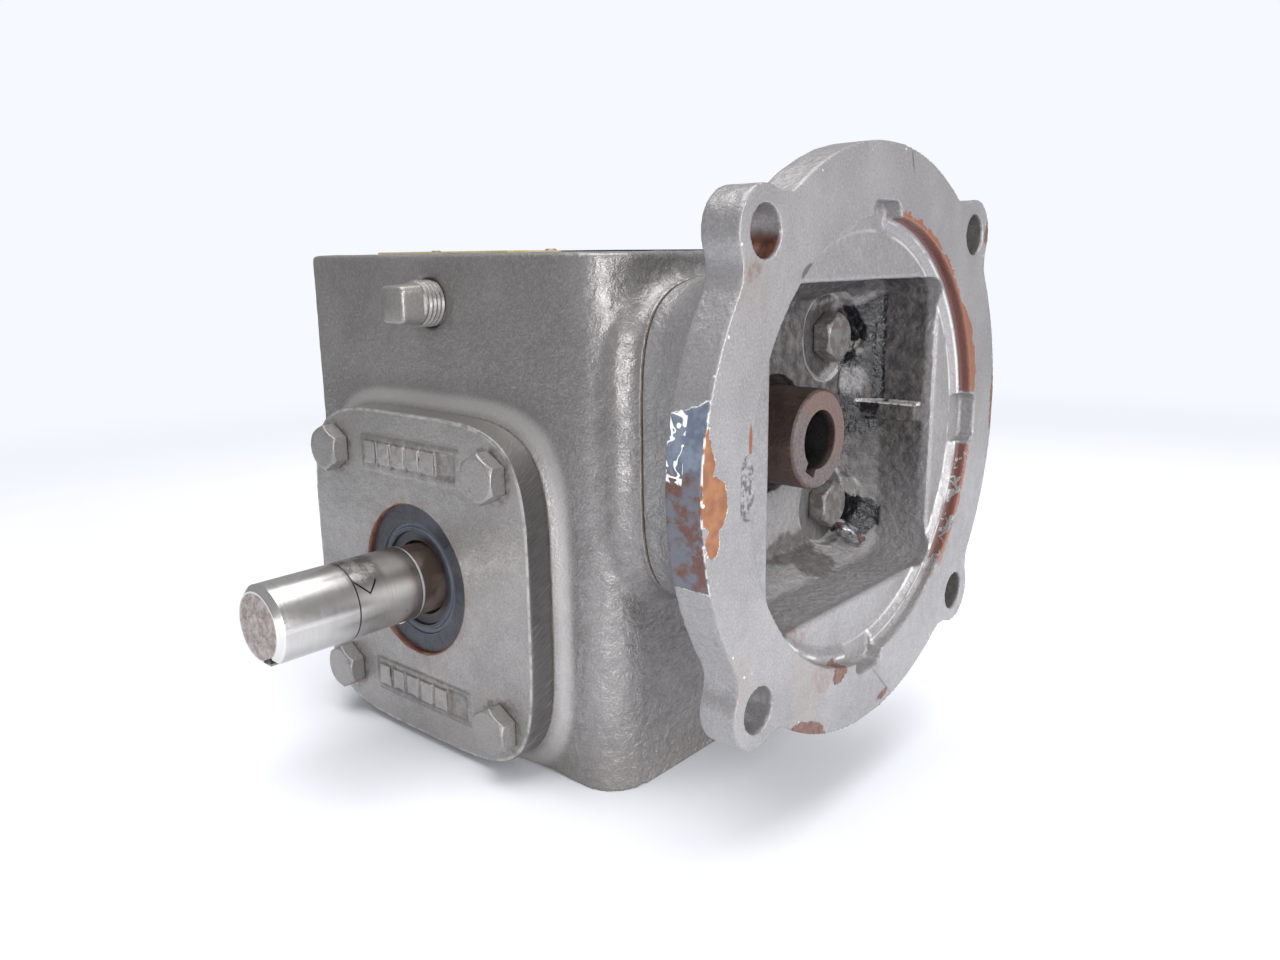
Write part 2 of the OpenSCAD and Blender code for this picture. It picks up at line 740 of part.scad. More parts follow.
// nameplate on the top face, with holes for its two drive pins
module nameplate() {
  color("#c9b23e") difference() {
    block([plate_x0, plate_y0, top_z], [plate_x1, plate_y1, top_z + plate_t]);
    for (x = [plate_x0 + pin_in, plate_x1 - pin_in])
      translate([x, plate_mid_y, top_z - 1]) cylinder(h = 3, r = 1.25);
  }
}

module nameplate_pins() {
  color("#9b9b99") for (x = [plate_x0 + pin_in, plate_x1 - pin_in])
    translate([x, plate_mid_y, top_z]) {
    cylinder(h = plate_t + e, r = 1.2);
    translate([0, 0, plate_t]) cylinder(h = 0.5, r1 = 2, r2 = 1.3);
  }
}

module caution_plate() {
  color("#2f3f63") block([-82, -30, top_z], [-62, 8, top_z + 0.3]);
}

housing();
motor_adapter();
adapter_gasket();
adapter_screws();
input_seal();
worm_shaft();
worm_front_outer_ring();
worm_front_inner_ring();
worm_front_balls();
worm_front_cage();
worm_back_outer_ring();
worm_back_inner_ring();
worm_back_balls();
worm_back_cage();
bore_retaining_ring();
worm_retaining_ring();
worm_end_cap();
worm_gear();
gear_key();
gear_spacer();
output_shaft();
output_front_outer_ring();
output_front_inner_ring();
output_front_balls();
output_front_cage();
output_back_outer_ring();
output_back_inner_ring();
output_back_balls();
output_back_cage();
output_seal();
output_cover();
cover_gasket();
cover_screws();
level_plug();
fill_plug();
drain_plug();
nameplate();
nameplate_pins();
caution_plate();
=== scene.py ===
"""Looks of a right-angle worm gear reducer: softened castings, wear, steel, rubber, light and camera."""
import itertools
import json
import math

import bmesh
import bpy
import numpy as np
from mathutils import Matrix, Vector


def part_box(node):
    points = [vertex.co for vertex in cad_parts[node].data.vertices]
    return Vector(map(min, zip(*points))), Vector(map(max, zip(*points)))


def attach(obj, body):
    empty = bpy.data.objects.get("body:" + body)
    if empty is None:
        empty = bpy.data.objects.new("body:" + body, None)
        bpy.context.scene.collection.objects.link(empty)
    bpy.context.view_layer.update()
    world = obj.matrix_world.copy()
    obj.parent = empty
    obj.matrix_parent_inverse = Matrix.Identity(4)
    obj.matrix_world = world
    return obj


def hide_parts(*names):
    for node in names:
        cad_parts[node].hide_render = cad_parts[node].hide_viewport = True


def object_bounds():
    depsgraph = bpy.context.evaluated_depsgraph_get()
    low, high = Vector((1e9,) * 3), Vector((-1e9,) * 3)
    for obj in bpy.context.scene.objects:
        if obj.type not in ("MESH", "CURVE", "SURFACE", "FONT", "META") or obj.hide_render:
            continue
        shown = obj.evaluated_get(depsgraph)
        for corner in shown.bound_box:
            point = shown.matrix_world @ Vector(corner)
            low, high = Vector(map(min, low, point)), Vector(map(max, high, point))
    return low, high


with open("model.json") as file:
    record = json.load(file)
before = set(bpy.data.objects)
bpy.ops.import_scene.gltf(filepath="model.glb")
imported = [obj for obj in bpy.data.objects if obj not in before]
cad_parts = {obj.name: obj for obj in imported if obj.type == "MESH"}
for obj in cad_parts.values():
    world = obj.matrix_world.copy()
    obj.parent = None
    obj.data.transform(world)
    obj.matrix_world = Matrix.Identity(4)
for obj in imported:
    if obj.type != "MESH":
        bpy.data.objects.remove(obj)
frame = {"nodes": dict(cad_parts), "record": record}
cad_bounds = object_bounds()

MM = 0.001
TRIANGLE_LIMIT = 180000

# share of metal in the grey enamel, which is full of aluminium flake
ALUMINIUM_FLAKE = 0.6

# stations of the object in millimetres, read from the frame
OUT_AXIS = sum(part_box("output_seal"), Vector()) / 2 / MM
COVER_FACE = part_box("output_cover")[0].y / MM
HOUSING_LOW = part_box("housing")[0] / MM
SHAFT_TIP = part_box("output_shaft")[0].y / MM
QUILL_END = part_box("worm_shaft")[1].x / MM

# sizes in millimetres that the frame doesn't give
FRONT_WALL = -48.4                  # Y of the housing's front wall
COVER_HALF, COVER_POWER = 49.7, 4.5  # half width and power of the cover's rounded-square outline
COVER_BOLT_OFF = 35.92              # cover screws from the output axis, along X and Z
SEAT_Y, SEAT_Z, SEAT_R = 27, 24.7, 12.5  # adapter screw seats, from the worm axis
NECK_END = -42                      # X where the adapter's neck meets the housing
BACK_PLATE = -31.5                  # X of the back of the adapter's pocket
REGISTER_R = 57.15                  # register of the motor flange
BOLT_CIRCLE_R = 74.6                # motor bolts
SHAFT_R = 11.11                     # output shaft
SHOULDER = -63.8                    # Y of the shoulder where its neck starts
SCRIBED_RING = -85.5                # Y of a ring scratched round it
FRAME_X = (-139.2, -94.0)           # the two raised frames on the cover
FRAME_Z = ((-13.4, -2.6), (-84.8, -73.8))
PAD_LOWS = (-11.2, -82.4)           # lower edges of the pads in them
PAD_WIDE, PAD_HIGH, PAD_RISE = 5.6, 6.4, 0.55
PAD_STEP, PADS_IN_FRAME = 6.9, 5
FIRST_PAD = -19.8                   # left edge of the first pad, from the output axis


# ---------------------------------------------------------------- materials
def srgb(code):
    """Linear colour of a hex code."""
    parts = [int(code[i:i + 2], 16) / 255 for i in (1, 3, 5)]
    return tuple(c / 12.92 if c < 0.04045 else ((c + 0.055) / 1.055) ** 2.4 for c in parts) + (1,)


class Paint:
    """A node material made from short calls. Positions and sizes are in millimetres."""

    def __init__(self, name):
        self.material = bpy.data.materials.new(name)
        self.material.use_nodes = True
        self.nodes = self.material.node_tree.nodes
        self.nodes.clear()
        out = self.nodes.new("ShaderNodeOutputMaterial")
        self.shader = self.nodes.new("ShaderNodeBsdfPrincipled")
        self.material.node_tree.links.new(self.shader.outputs[0], out.inputs[0])
        coord = self.nodes.new("ShaderNodeTexCoord")
        self.mm = self.vector("SCALE", coord.outputs["Object"], scale=1 / MM)
        split = self.nodes.new("ShaderNodeSeparateXYZ")
        self.put(split.inputs[0], self.mm)
        self.x, self.y, self.z = split.outputs

    def put(self, socket, value):
        if isinstance(value, bpy.types.NodeSocket):
            self.material.node_tree.links.new(value, socket)
        else:
            socket.default_value = value

    def vector(self, operation, a, b=None, scale=None):
        n = self.nodes.new("ShaderNodeVectorMath")
        n.operation = operation
        self.put(n.inputs[0], a)
        if b is not None:
            self.put(n.inputs[1], b)
        if scale is not None:
            n.inputs["Scale"].default_value = scale
        return n.outputs["Value"] if operation == "LENGTH" else n.outputs[0]

    def math(self, operation, a, b=0.0, clamp=False):
        n = self.nodes.new("ShaderNodeMath")
        n.operation = operation
        n.use_clamp = clamp
        self.put(n.inputs[0], a)
        self.put(n.inputs[1], b)
        return n.outputs[0]

    def add(self, a, b):
        return self.math("ADD", a, b)

    def times(self, a, b):
        return self.math("MULTIPLY", a, b)

    def most(self, *values):
        made = values[0]
        for v in values[1:]:
            made = self.math("MAXIMUM", made, v)
        return made

    def least(self, *values):
        made = values[0]
        for v in values[1:]:
            made = self.math("MINIMUM", made, v)
        return made

    def fit(self, value, low, high, a=0.0, b=1.0):
        """value from low..high to a..b, smooth at both ends."""
        n = self.nodes.new("ShaderNodeMapRange")
        n.interpolation_type = "SMOOTHSTEP"
        for socket, v in zip(n.inputs, (value, low, high, a, b)):
            self.put(socket, v)
        return n.outputs[0]

    def band(self, value, low, high, soft):
        """1 where value lies between low and high."""
        rise = self.fit(value, low - soft, low + soft)
        return self.times(rise, self.fit(value, high - soft, high + soft, 1, 0))

    def noise(self, size, detail=2.0, rough=0.5, warp=0.0, at=None, stretch=None):
        """Noise from 0 to 1 with features of that size."""
        n = self.nodes.new("ShaderNodeTexNoise")
        where = at or self.mm
        if stretch:
            where = self.vector("MULTIPLY", where, stretch)
        self.put(n.inputs["Vector"], where)
        n.inputs["Scale"].default_value = 1 / size
        n.inputs["Detail"].default_value = detail
        n.inputs["Roughness"].default_value = rough
        n.inputs["Distortion"].default_value = warp
        return n.outputs["Fac"]

    def cells(self, size, at=None):
        """Distance to the nearest of scattered points, 0 at a point."""
        n = self.nodes.new("ShaderNodeTexVoronoi")
        self.put(n.inputs["Vector"], at or self.mm)
        n.inputs["Scale"].default_value = 1 / size
        return n.outputs["Distance"]

    def mix(self, share, a, b):
        n = self.nodes.new("ShaderNodeMix")
        n.data_type = "RGBA"
        self.put(n.inputs[0], share)
        for socket, c in ((n.inputs[6], a), (n.inputs[7], b)):
            self.put(socket, srgb(c) if isinstance(c, str) else c)
        return n.outputs[2]

    def lerp(self, share, a, b):
        n = self.nodes.new("ShaderNodeMix")
        n.data_type = "FLOAT"
        self.put(n.inputs[0], share)
        self.put(n.inputs[2], a)
        self.put(n.inputs[3], b)
        return n.outputs[0]

    def blob(self, centre, half, turn=0.0, thick=1000.0):
        """Signed distance in mm, positive inside, to an ellipse seen along X; centre is (x, y, z)."""
        m = self.nodes.new("ShaderNodeMapping")
        m.vector_type = "TEXTURE"
        self.put(m.inputs["Vector"], self.mm)
        m.inputs["Location"].default_value = centre
        m.inputs["Rotation"].default_value = (math.radians(turn), 0, 0)
        m.inputs["Scale"].default_value = (thick, half[0], half[1])
        return self.times(self.math("SUBTRACT", 1.0, self.vector("LENGTH", m.outputs[0])), min(half))

    def pointy(self, low, high):
        """0 in hollows and 1 on raised edges."""
        g = self.nodes.new("ShaderNodeNewGeometry")
        return self.fit(g.outputs["Pointiness"], low, high)

    def facing(self, axis):
        """Part of the surface direction along one axis, from -1 to 1."""
        g = self.nodes.new("ShaderNodeNewGeometry")
        s = self.nodes.new("ShaderNodeSeparateXYZ")
        self.put(s.inputs[0], g.outputs["Normal"])
        return s.outputs[axis]

    def bump(self, height, depth, under=None):
        """Surface relief of that depth in mm where height goes from 0 to 1."""
        n = self.nodes.new("ShaderNodeBump")
        n.inputs["Strength"].default_value = 1
        n.inputs["Distance"].default_value = depth * MM
        self.put(n.inputs["Height"], height)
        if under is not None:
            self.put(n.inputs["Normal"], under)
        return n.outputs[0]

    def finish(self, colour, rough, normal, metal=0.0, coat=0.0, specular=0.5):
        s = self.shader.inputs
        self.put(s["Base Color"], srgb(colour) if isinstance(colour, str) else colour)
        self.put(s["Roughness"], rough)
        self.put(s["Normal"], normal)
        self.put(s["Metallic"], metal)
        s["Coat Weight"].default_value = coat
        s["Coat Roughness"].default_value = 0.2
        s["Specular IOR Level"].default_value = specular
        return self.material


def grey_enamel(p, tint=("#807d7c", "#8c8988")):
    """Satin grey enamel over a casting: colour, roughness and relief, before any wear."""
    cloud = p.noise(28, 3, 0.55)
    mottle = p.fit(p.noise(3.2, 3, 0.6), 0.34, 0.68)
    speck = p.fit(p.noise(0.6, 2, 0.6), 0.3, 0.7)
    colour = p.mix(p.fit(cloud, 0.38, 0.62), *tint)
    colour = p.mix(p.times(mottle, 0.16), colour, "#a3a09f")
    colour = p.mix(p.fit(speck, 0.6, 1.0, 0, 0.24), colour, "#b4b1b0")
    colour = p.mix(p.fit(speck, 0.4, 0.0, 0, 0.2), colour, "#5c5957")
    rough = p.lerp(mottle, 0.44, 0.32)
    return colour, rough, mottle, speck


def cast_paint(name, coarse=1.0, tint=("#7f7c7b", "#8b8887")):
    """Painted casting with dust and painted shade in its hollows, and thin worn paint with a painted
    highlight on its raised edges.
    """
    p = Paint(name)
    colour, rough, mottle, speck = grey_enamel(p, tint)
    # dust and painted shade darken the hollows; worn paint and a painted highlight lighten the raised edges
    hollow = p.pointy(0.49, 0.44)
    worn_edge_highlight = p.times(p.pointy(0.54, 0.62), p.fit(p.noise(4, 2, 0.6), 0.35, 0.6))
    colour = p.mix(p.times(hollow, 0.45), colour, "#5d5853")
    colour = p.mix(p.times(worn_edge_highlight, 0.6), colour, "#bdb9b4")
    # painted highlight on the fillet at the foot of the cover's boss
    u = p.math("ABSOLUTE", p.add(p.x, -OUT_AXIS.x))
    v = p.math("ABSOLUTE", p.add(p.z, -OUT_AXIS.z))
    both = p.add(p.math("POWER", u, COVER_POWER), p.math("POWER", v, COVER_POWER))
    outline = p.math("POWER", both, 1 / COVER_POWER)
    fillet = p.times(p.band(outline, COVER_HALF + 0.7, COVER_HALF + 4.5, 1.4),
                     p.fit(p.y, FRONT_WALL + 0.5, FRONT_WALL - 0.1))
    colour = p.mix(p.times(fillet, 0.45), colour, "#d2cfcd")
    low = p.fit(p.z, HOUSING_LOW.z + 22, HOUSING_LOW.z, 0, 0.35)
    colour = p.mix(p.times(low, p.noise(16, 3, 0.6)), colour, "#7a7167")
    in_front = p.fit(p.y, FRONT_WALL + 0.1, FRONT_WALL - 0.6, 1.0, 0.25)
    strength = p.times(p.fit(p.facing(0), 0.78, 0.98, 0.42, 1.0), in_front)
    peel = p.times(p.fit(p.noise(2.4, 3, 0.55), 0.3, 0.7), strength)
    lumps = p.bump(peel, 0.24 * coarse)
    grain = p.bump(speck, 0.025, lumps)
    return p.finish(colour, rough, grain, metal=ALUMINIUM_FLAKE)


def ragged(p, coarse=6.0, fine=2.0):
    """Uneven offset in mm that makes the edge of a chip jagged."""
    big = p.times(p.math("SUBTRACT", p.noise(5, 3, 0.6), 0.5), coarse)
    return p.add(big, p.times(p.math("SUBTRACT", p.noise(1.2, 2, 0.6), 0.5), fine))


def edge_of(p, distance, width=0.35):
    """Thin line along the edge of a chip."""
    return p.fit(p.math("ABSOLUTE", distance), width, 0.0)


def lay(p, colour, distance, paint, soft=0.15, strength=1.0):
    """Puts a colour where distance is positive; gives the new colour and the mask."""
    mask = p.times(p.fit(distance, -soft, soft), strength)
    return p.mix(mask, colour, paint), mask


def chips(p, spots, rough_edge, thick=1000.0):
    """Union of elliptic chips given as (y, z, half y, half z, turn)."""
    blobs = [p.blob((0, y, z), (hy, hz), turn, thick) for y, z, hy, hz, turn in spots]
    return p.add(p.most(*blobs), rough_edge)


# rusty bare places of the motor adapter: y, z, half sizes, turn
RUST_SPOTS = [(-31, -67.5, 8, 3.2, -22), (-16, -56.5, 3.4, 2.6, 0), (8, -71, 3.6, 1.3, 8),
              (61.8, 56, 1.3, 5.5, -18), (73, 4, 1.3, 9, 0), (73.4, -18, 0.9, 6, 0)]
FACE_PRIMER = [(-72.6, 7, 2.2, 8.5, 0), (-70.4, -1.5, 4.6, 6.2, 0), (-70.6, -8.6, 2.7, 3.3, 0)]
STAINS = [(-32, -56, 6, 12, 15), (-57, 43, 6, 5, 0), (-60, -44, 5, 6, 0)]
FILMS = [(-24, -55, 5, 3.4, -35), (-29.5, -43.5, 5, 2.2, -30), (-57, 44.5, 3, 1.6, 30)]
BACK_GREASE = [(39, 30.5, 3.2, 2.2, 0), (37.5, 24, 2.6, 3, 0), (37.6, 17.5, 2.2, 2.4, 0),
               (35.5, 3, 5, 1.6, 0), (37.5, -2.5, 4, 3, 0), (39.5, -29, 4.5, 4.5, 0), (38, -34, 4, 3, 0),
               (33.8, 21, 2.4, 1.6, 0), (37.5, 29, 4.5, 8, 0), (37, 10, 3, 8, 0)]
DRY_SMEARS = [(35.5, 34.6, 5, 1.7, 24), (25, 34.5, 7, 1.1, 6), (37.6, 11, 2.4, 4, 0),
              (31, 14.5, 5, 1.8, 20)]
SCRAPES = [(12, 70, 0.35, 2.3, 18), (-36.5, 44.5, 2.6, 1.1, 30), (8, -67, 0.2, 6.5, 46)]
BARE_FLOOR = [(-53.8, -1.8, 5.2, 8.2, 0)]
RUSTY_HOLE = [(-52.8, 50.2, 6.2, 5.4, 0)]
RUSTY_MOUTH = [(-36.8, 33.2, 1.7, 4.6, 37)]
RUSTY_STREAK = [(-57.4, 10.2, 0.55, 3.4, 0)]
CURLED = [(-73, 10.5, 60, 7.5, 0)]


def adapter_paint():
    """Enamel of the motor adapter with its chips, primer, rust and greasy pocket."""
    p = Paint("adapter_enamel")
    colour, rough, mottle, speck = grey_enamel(p, ("#858384", "#908e8f"))
    uneven = ragged(p)
    gentle = ragged(p, 3, 1.4)
    radius = p.vector("LENGTH", p.vector("MULTIPLY", p.mm, (0, 1, 1)))
    deep = p.fit(p.x, -6.5, -9)
    outward = p.math("DIVIDE", p.add(p.times(p.facing(1), p.y), p.times(p.facing(2), p.z)), radius)
    inner = p.times(p.fit(outward, 0.35, 0.1), p.fit(p.facing(0), -0.5, -0.2))
    before_plate = p.fit(p.x, BACK_PLATE - 2.5, BACK_PLATE - 2)
    in_pocket = p.times(p.times(deep, inner), p.times(before_plate, p.fit(radius, 60, 58)))
    # dust and painted shade darken the hollows; worn paint and a painted highlight lighten the raised edges
    hollow = p.pointy(0.49, 0.43)
    worn_edge_highlight = p.times(p.pointy(0.57, 0.66), p.noise(4, 2, 0.6))
    colour = p.mix(p.times(hollow, 0.4), colour, "#55504c")
    colour = p.mix(p.times(worn_edge_highlight, 0.65), colour, "#c4c2c0")
    # dust and painted shade in the pocket, darkest high up and at the back
    soot_and_shade = p.times(in_pocket, p.fit(p.add(p.z, p.times(p.y, 0.35)), -38, 16, 0.0, 0.88))
    colour = p.mix(soot_and_shade, colour, p.mix(mottle, "#262426", "#575250"))
    # painted shade on the floors of the screw seats and a painted highlight along their rims
    seat_y = p.math("ABSOLUTE", p.add(p.math("ABSOLUTE", p.y), -SEAT_Y))
    seat_z = p.math("ABSOLUTE", p.add(p.math("ABSOLUTE", p.z), -SEAT_Z))
    seat = p.math("SQRT", p.add(p.times(seat_y, seat_y), p.times(seat_z, seat_z)))
    at_plate = p.times(in_pocket, p.fit(p.x, -24, -28))
    seat_floor_shade = p.times(p.fit(seat, SEAT_R - 0.3, SEAT_R - 1.1), at_plate)
    colour = p.mix(p.times(seat_floor_shade, 0.6), colour, "#2f2c2d")
    seat_rim_highlight = p.times(p.band(seat, SEAT_R - 0.5, SEAT_R + 0.6, 0.35), p.fit(p.noise(6, 2), 0.38, 0.5))
    colour = p.mix(p.times(p.times(seat_rim_highlight, at_plate), 0.8), colour, "#b3b0ae")
    on_face = p.fit(p.x, -0.8, -0.3)
    stain = chips(p, STAINS, p.times(uneven, 1.6))
    colour, _ = lay(p, colour, stain, "#8f8278", 3.0, p.times(on_face, 0.28))
    film = chips(p, FILMS, p.times(uneven, 0.8))
    colour, _ = lay(p, colour, film, "#7d665c", 0.8, p.times(p.fit(p.noise(1.6, 3, 0.7), 0.36, 0.6), 0.6))
    # bare recess floor beside the left notch
    notch = p.least(chips(p, BARE_FLOOR, gentle), p.math("SUBTRACT", -3.6, p.x))
    bare_iron = p.mix(p.fit(p.noise(1.6, 3, 0.7), 0.4, 0.6), "#4e4b4c", "#9a9899")
    colour, _ = lay(p, colour, notch, bare_iron, 0.3, 0.85)
    # register wall and the jagged strip beside it
    right_side = p.fit(p.y, 7, 9)
    strip = p.times(p.fit(p.z, -47, -36), p.fit(p.math("ABSOLUTE", p.z), 7.4, 8.2))
    reach = p.lerp(p.band(p.z, 8, 30, 6), 58.4, 61.2)
    beside = p.add(p.math("SUBTRACT", reach, radius), p.times(uneven, 0.95))
    beside = p.least(beside, p.math("SUBTRACT", radius, REGISTER_R - 0.55), p.add(p.x, 3.25))
    gaps = p.fit(p.add(p.noise(4.5, 3, 0.6), p.fit(p.z, -20, 5, 0.0, 0.2)), 0.42, 0.46)
    shown = p.times(p.times(p.times(right_side, strip), p.fit(beside, -0.15, 0.15)), gaps)
    colour = p.mix(shown, colour, p.mix(p.fit(p.x, -1.2, -0.2), "#63403a", "#7d5140"))
    # rust patches and the bolt hole
    rust = chips(p, RUST_SPOTS, gentle)
    rust_colour = p.mix(p.fit(p.noise(2.2, 3, 0.7), 0.35, 0.65), "#57403b", "#74554b")
    colour, rust_mask = lay(p, colour, rust, rust_colour)
    hole = p.least(chips(p, RUSTY_HOLE, p.times(gentle, 0.5)), p.math("SUBTRACT", -0.7, p.x))
    hole_rust = p.mix(p.fit(p.noise(2.5, 2), 0.35, 0.65), "#4c2a20", "#764531")
    colour, _ = lay(p, colour, hole, hole_rust, 0.6, 0.95)
    off_circle = p.math("ABSOLUTE", p.add(radius, -BOLT_CIRCLE_R))
    other = p.times(p.fit(off_circle, 6.6, 6.2), p.fit(p.x, -0.4, -0.9))
    off_diagonal = p.math("SUBTRACT", p.math("ABSOLUTE", p.y), p.math("ABSOLUTE", p.z))
    corner = p.fit(p.math("ABSOLUTE", off_diagonal), 8.4, 8)
    drilled = p.times(p.times(other, corner), p.times(p.fit(p.x, -9.9, -9.6), p.fit(p.y, -20, -10)))
    colour = p.mix(p.times(drilled, 0.75), colour, p.mix(p.noise(2), "#3a3837", "#6e6a67"))
    # big chip round the left rim: bare blue-grey above, rusty below, primer on the face
    level = p.math("SUBTRACT", p.z, p.times(p.fit(p.z, -4, 14), p.times(p.x, 0.35)))
    side = p.math("SUBTRACT", 20.2, p.math("ABSOLUTE", level))
    side = p.least(p.add(side, p.times(uneven, 0.55)), p.math("SUBTRACT", -60, p.y),
                   p.math("SUBTRACT", -0.3, p.x), p.math("SUBTRACT", radius, 71.2))
    mottled = p.mix(p.fit(p.noise(4.2, 3, 0.66), 0.4, 0.6), "#5d4039", "#5f646e")
    mottled = p.mix(p.fit(p.noise(1.3, 2, 0.7), 0.5, 0.75, 0, 0.5), mottled, "#7b574b")
    bluish = p.mix(p.fit(p.noise(3, 3, 0.6), 0.35, 0.65), "#566070", "#727b89")
    upper = p.fit(p.add(p.z, p.times(uneven, 0.9)), 4.2, 6.2)
    colour, side_mask = lay(p, colour, side, p.mix(upper, mottled, bluish), 0.1)
    face = p.least(chips(p, FACE_PRIMER, p.times(uneven, 0.8)), p.add(p.x, 0.5))
    primer = p.mix(p.fit(p.noise(4, 2), 0.35, 0.65), "#7a4c33", "#8e6040")
    colour, face_mask = lay(p, colour, face, primer, 0.1)
    ring = chips(p, RUSTY_STREAK, p.times(gentle, 0.2))
    colour, _ = lay(p, colour, ring, "#85513a")
    mouth = chips(p, RUSTY_MOUTH, p.times(gentle, 0.6))
    mouth = p.least(mouth, p.math("SUBTRACT", -4.6, p.x), p.add(p.x, 11))
    colour, _ = lay(p, colour, mouth, "#94543a")
    # lifted flakes along the big chip, with a painted highlight along the chip's edges and on the curled
    # flakes
    flake = p.times(p.most(edge_of(p, side, 0.28), edge_of(p, face, 0.2)), p.fit(p.noise(2.5), 0.42, 0.56))
    curled = p.least(chips(p, CURLED, p.times(uneven, 0.6)),
                     p.math("SUBTRACT", -5.2, p.x), p.add(side, 0.4))
    loops = p.fit(p.math("ABSOLUTE", p.add(p.noise(4.2, 2, 0.5, 0.6), -0.5)), 0.04, 0.022)
    curl_highlight_mask = p.times(p.fit(curled, -0.1, 0.2), loops)
    colour = p.mix(p.most(p.times(flake, 0.8), curl_highlight_mask), colour, "#efefee")
    # grease in the back of the pocket and pale dry smears; the painted highlight on the edges of the screw
    # seats is laid further up
    deepest = p.fit(p.x, -19.5, -20.5)
    streak = p.least(p.math("SUBTRACT", 1.9, p.math("ABSOLUTE", p.add(p.x, 22.2))), p.add(p.y, -38))
    streak = p.least(streak, p.math("SUBTRACT", 17, p.math("ABSOLUTE", p.add(p.z, -20))))
    grease = p.most(chips(p, BACK_GREASE, p.times(uneven, 0.9)), p.add(streak, p.times(gentle, 0.6)))
    greasy = p.times(p.times(p.fit(grease, -0.3, 0.5), in_pocket), deepest)
    colour = p.mix(greasy, colour, p.mix(p.fit(p.noise(1.4, 2), 0.5, 0.7), "#17171b", "#3a383a"))
    smear = chips(p, DRY_SMEARS, p.times(uneven, 0.7))
    smeared = p.times(p.times(p.fit(smear, -0.8, 1.2), in_pocket), p.times(deepest, 0.6))
    colour = p.mix(smeared, colour, p.mix(p.noise(1.2, 2), "#85817f", "#a9a6a8"))
    sump = p.most(p.blob((-25, 13, -39), (9, 5), 0, 5), p.blob((-31, 8, -36), (13, 6), 0, 4))
    sump = p.times(p.fit(p.add(sump, p.times(uneven, 0.9)), -0.8, 0.8), in_pocket)
    colour = p.mix(p.times(sump, 0.7), colour, p.mix(mottle, "#332d2c", "#5b524f"))
    rough = p.lerp(greasy, p.lerp(in_pocket, rough, 0.62), p.lerp(p.noise(2), 0.16, 0.5))
    rough = p.lerp(p.most(rust_mask, side_mask, face_mask), rough, 0.62)
    # painted highlights along the edges of the rib, the register and the relief inside it
    rib = p.times(p.band(p.z, 4.7, 5.8, 0.15), p.times(p.band(p.x, -28, -8.8, 0.3), p.fit(p.y, 38, 38.6)))
    rib = p.times(p.times(rib, in_pocket), p.fit(p.noise(2.2, 2), 0.34, 0.5))
    step = p.times(p.band(radius, 55.5, 56.2, 0.12), p.band(p.x, -3.8, -3.0, 0.2))
    ledge = p.times(p.band(radius, 53.1, 53.8, 0.15), p.band(p.x, -5.3, -4.5, 0.2))
    ledge = p.times(ledge, p.fit(p.y, -10, 20, 0.15, 0.8))
    lines = p.times(p.most(step, ledge), p.fit(p.noise(7, 2), 0.36, 0.5))
    colour = p.mix(p.times(p.most(rib, lines), 0.7), colour, "#d9d8d6")
    # small nicks along the rim, a pen scratch and a dark scrape
    near_edge = p.times(p.fit(radius, 69, 73), p.fit(p.math("ABSOLUTE", p.x), 3.5, 0.4))
    nick = p.times(near_edge, p.fit(p.add(p.cells(4.2), p.times(gentle, 0.07)), 0.1, 0.06))
    colour = p.mix(p.times(nick, 0.8), colour, p.mix(p.fit(p.noise(9), 0.49, 0.51), "#4b403a", "#e2e1e0"))
    scrape = chips(p, SCRAPES, p.times(gentle, 0.12))
    colour, _ = lay(p, colour, p.least(scrape, p.add(p.x, 0.6)), "#4a4644", 0.25, 0.75)
    # relief: cast lumps away from the machined face, grain, and the thickness of the paint
    cast = p.fit(p.x, -0.3, -1.2)
    rough_cast = p.fit(p.noise(2.2, 3, 0.55), 0.3, 0.7)
    behind = p.most(in_pocket, p.fit(p.x, -10.4, -12))
    lumps = p.bump(p.times(rough_cast, p.lerp(behind, p.times(cast, 0.28), 0.8)), 0.32)
    grain = p.bump(speck, 0.022, lumps)
    missing = p.most(rust_mask, side_mask, face_mask, shown)
    relief = p.bump(p.math("SUBTRACT", p.most(flake, curl_highlight_mask), missing), 0.16, grain)
    bare = p.most(rust_mask, side_mask, face_mask, shown, greasy)
    return p.finish(colour, rough, relief, metal=p.lerp(bare, p.lerp(in_pocket, 0.38, 0.2), 0.05))


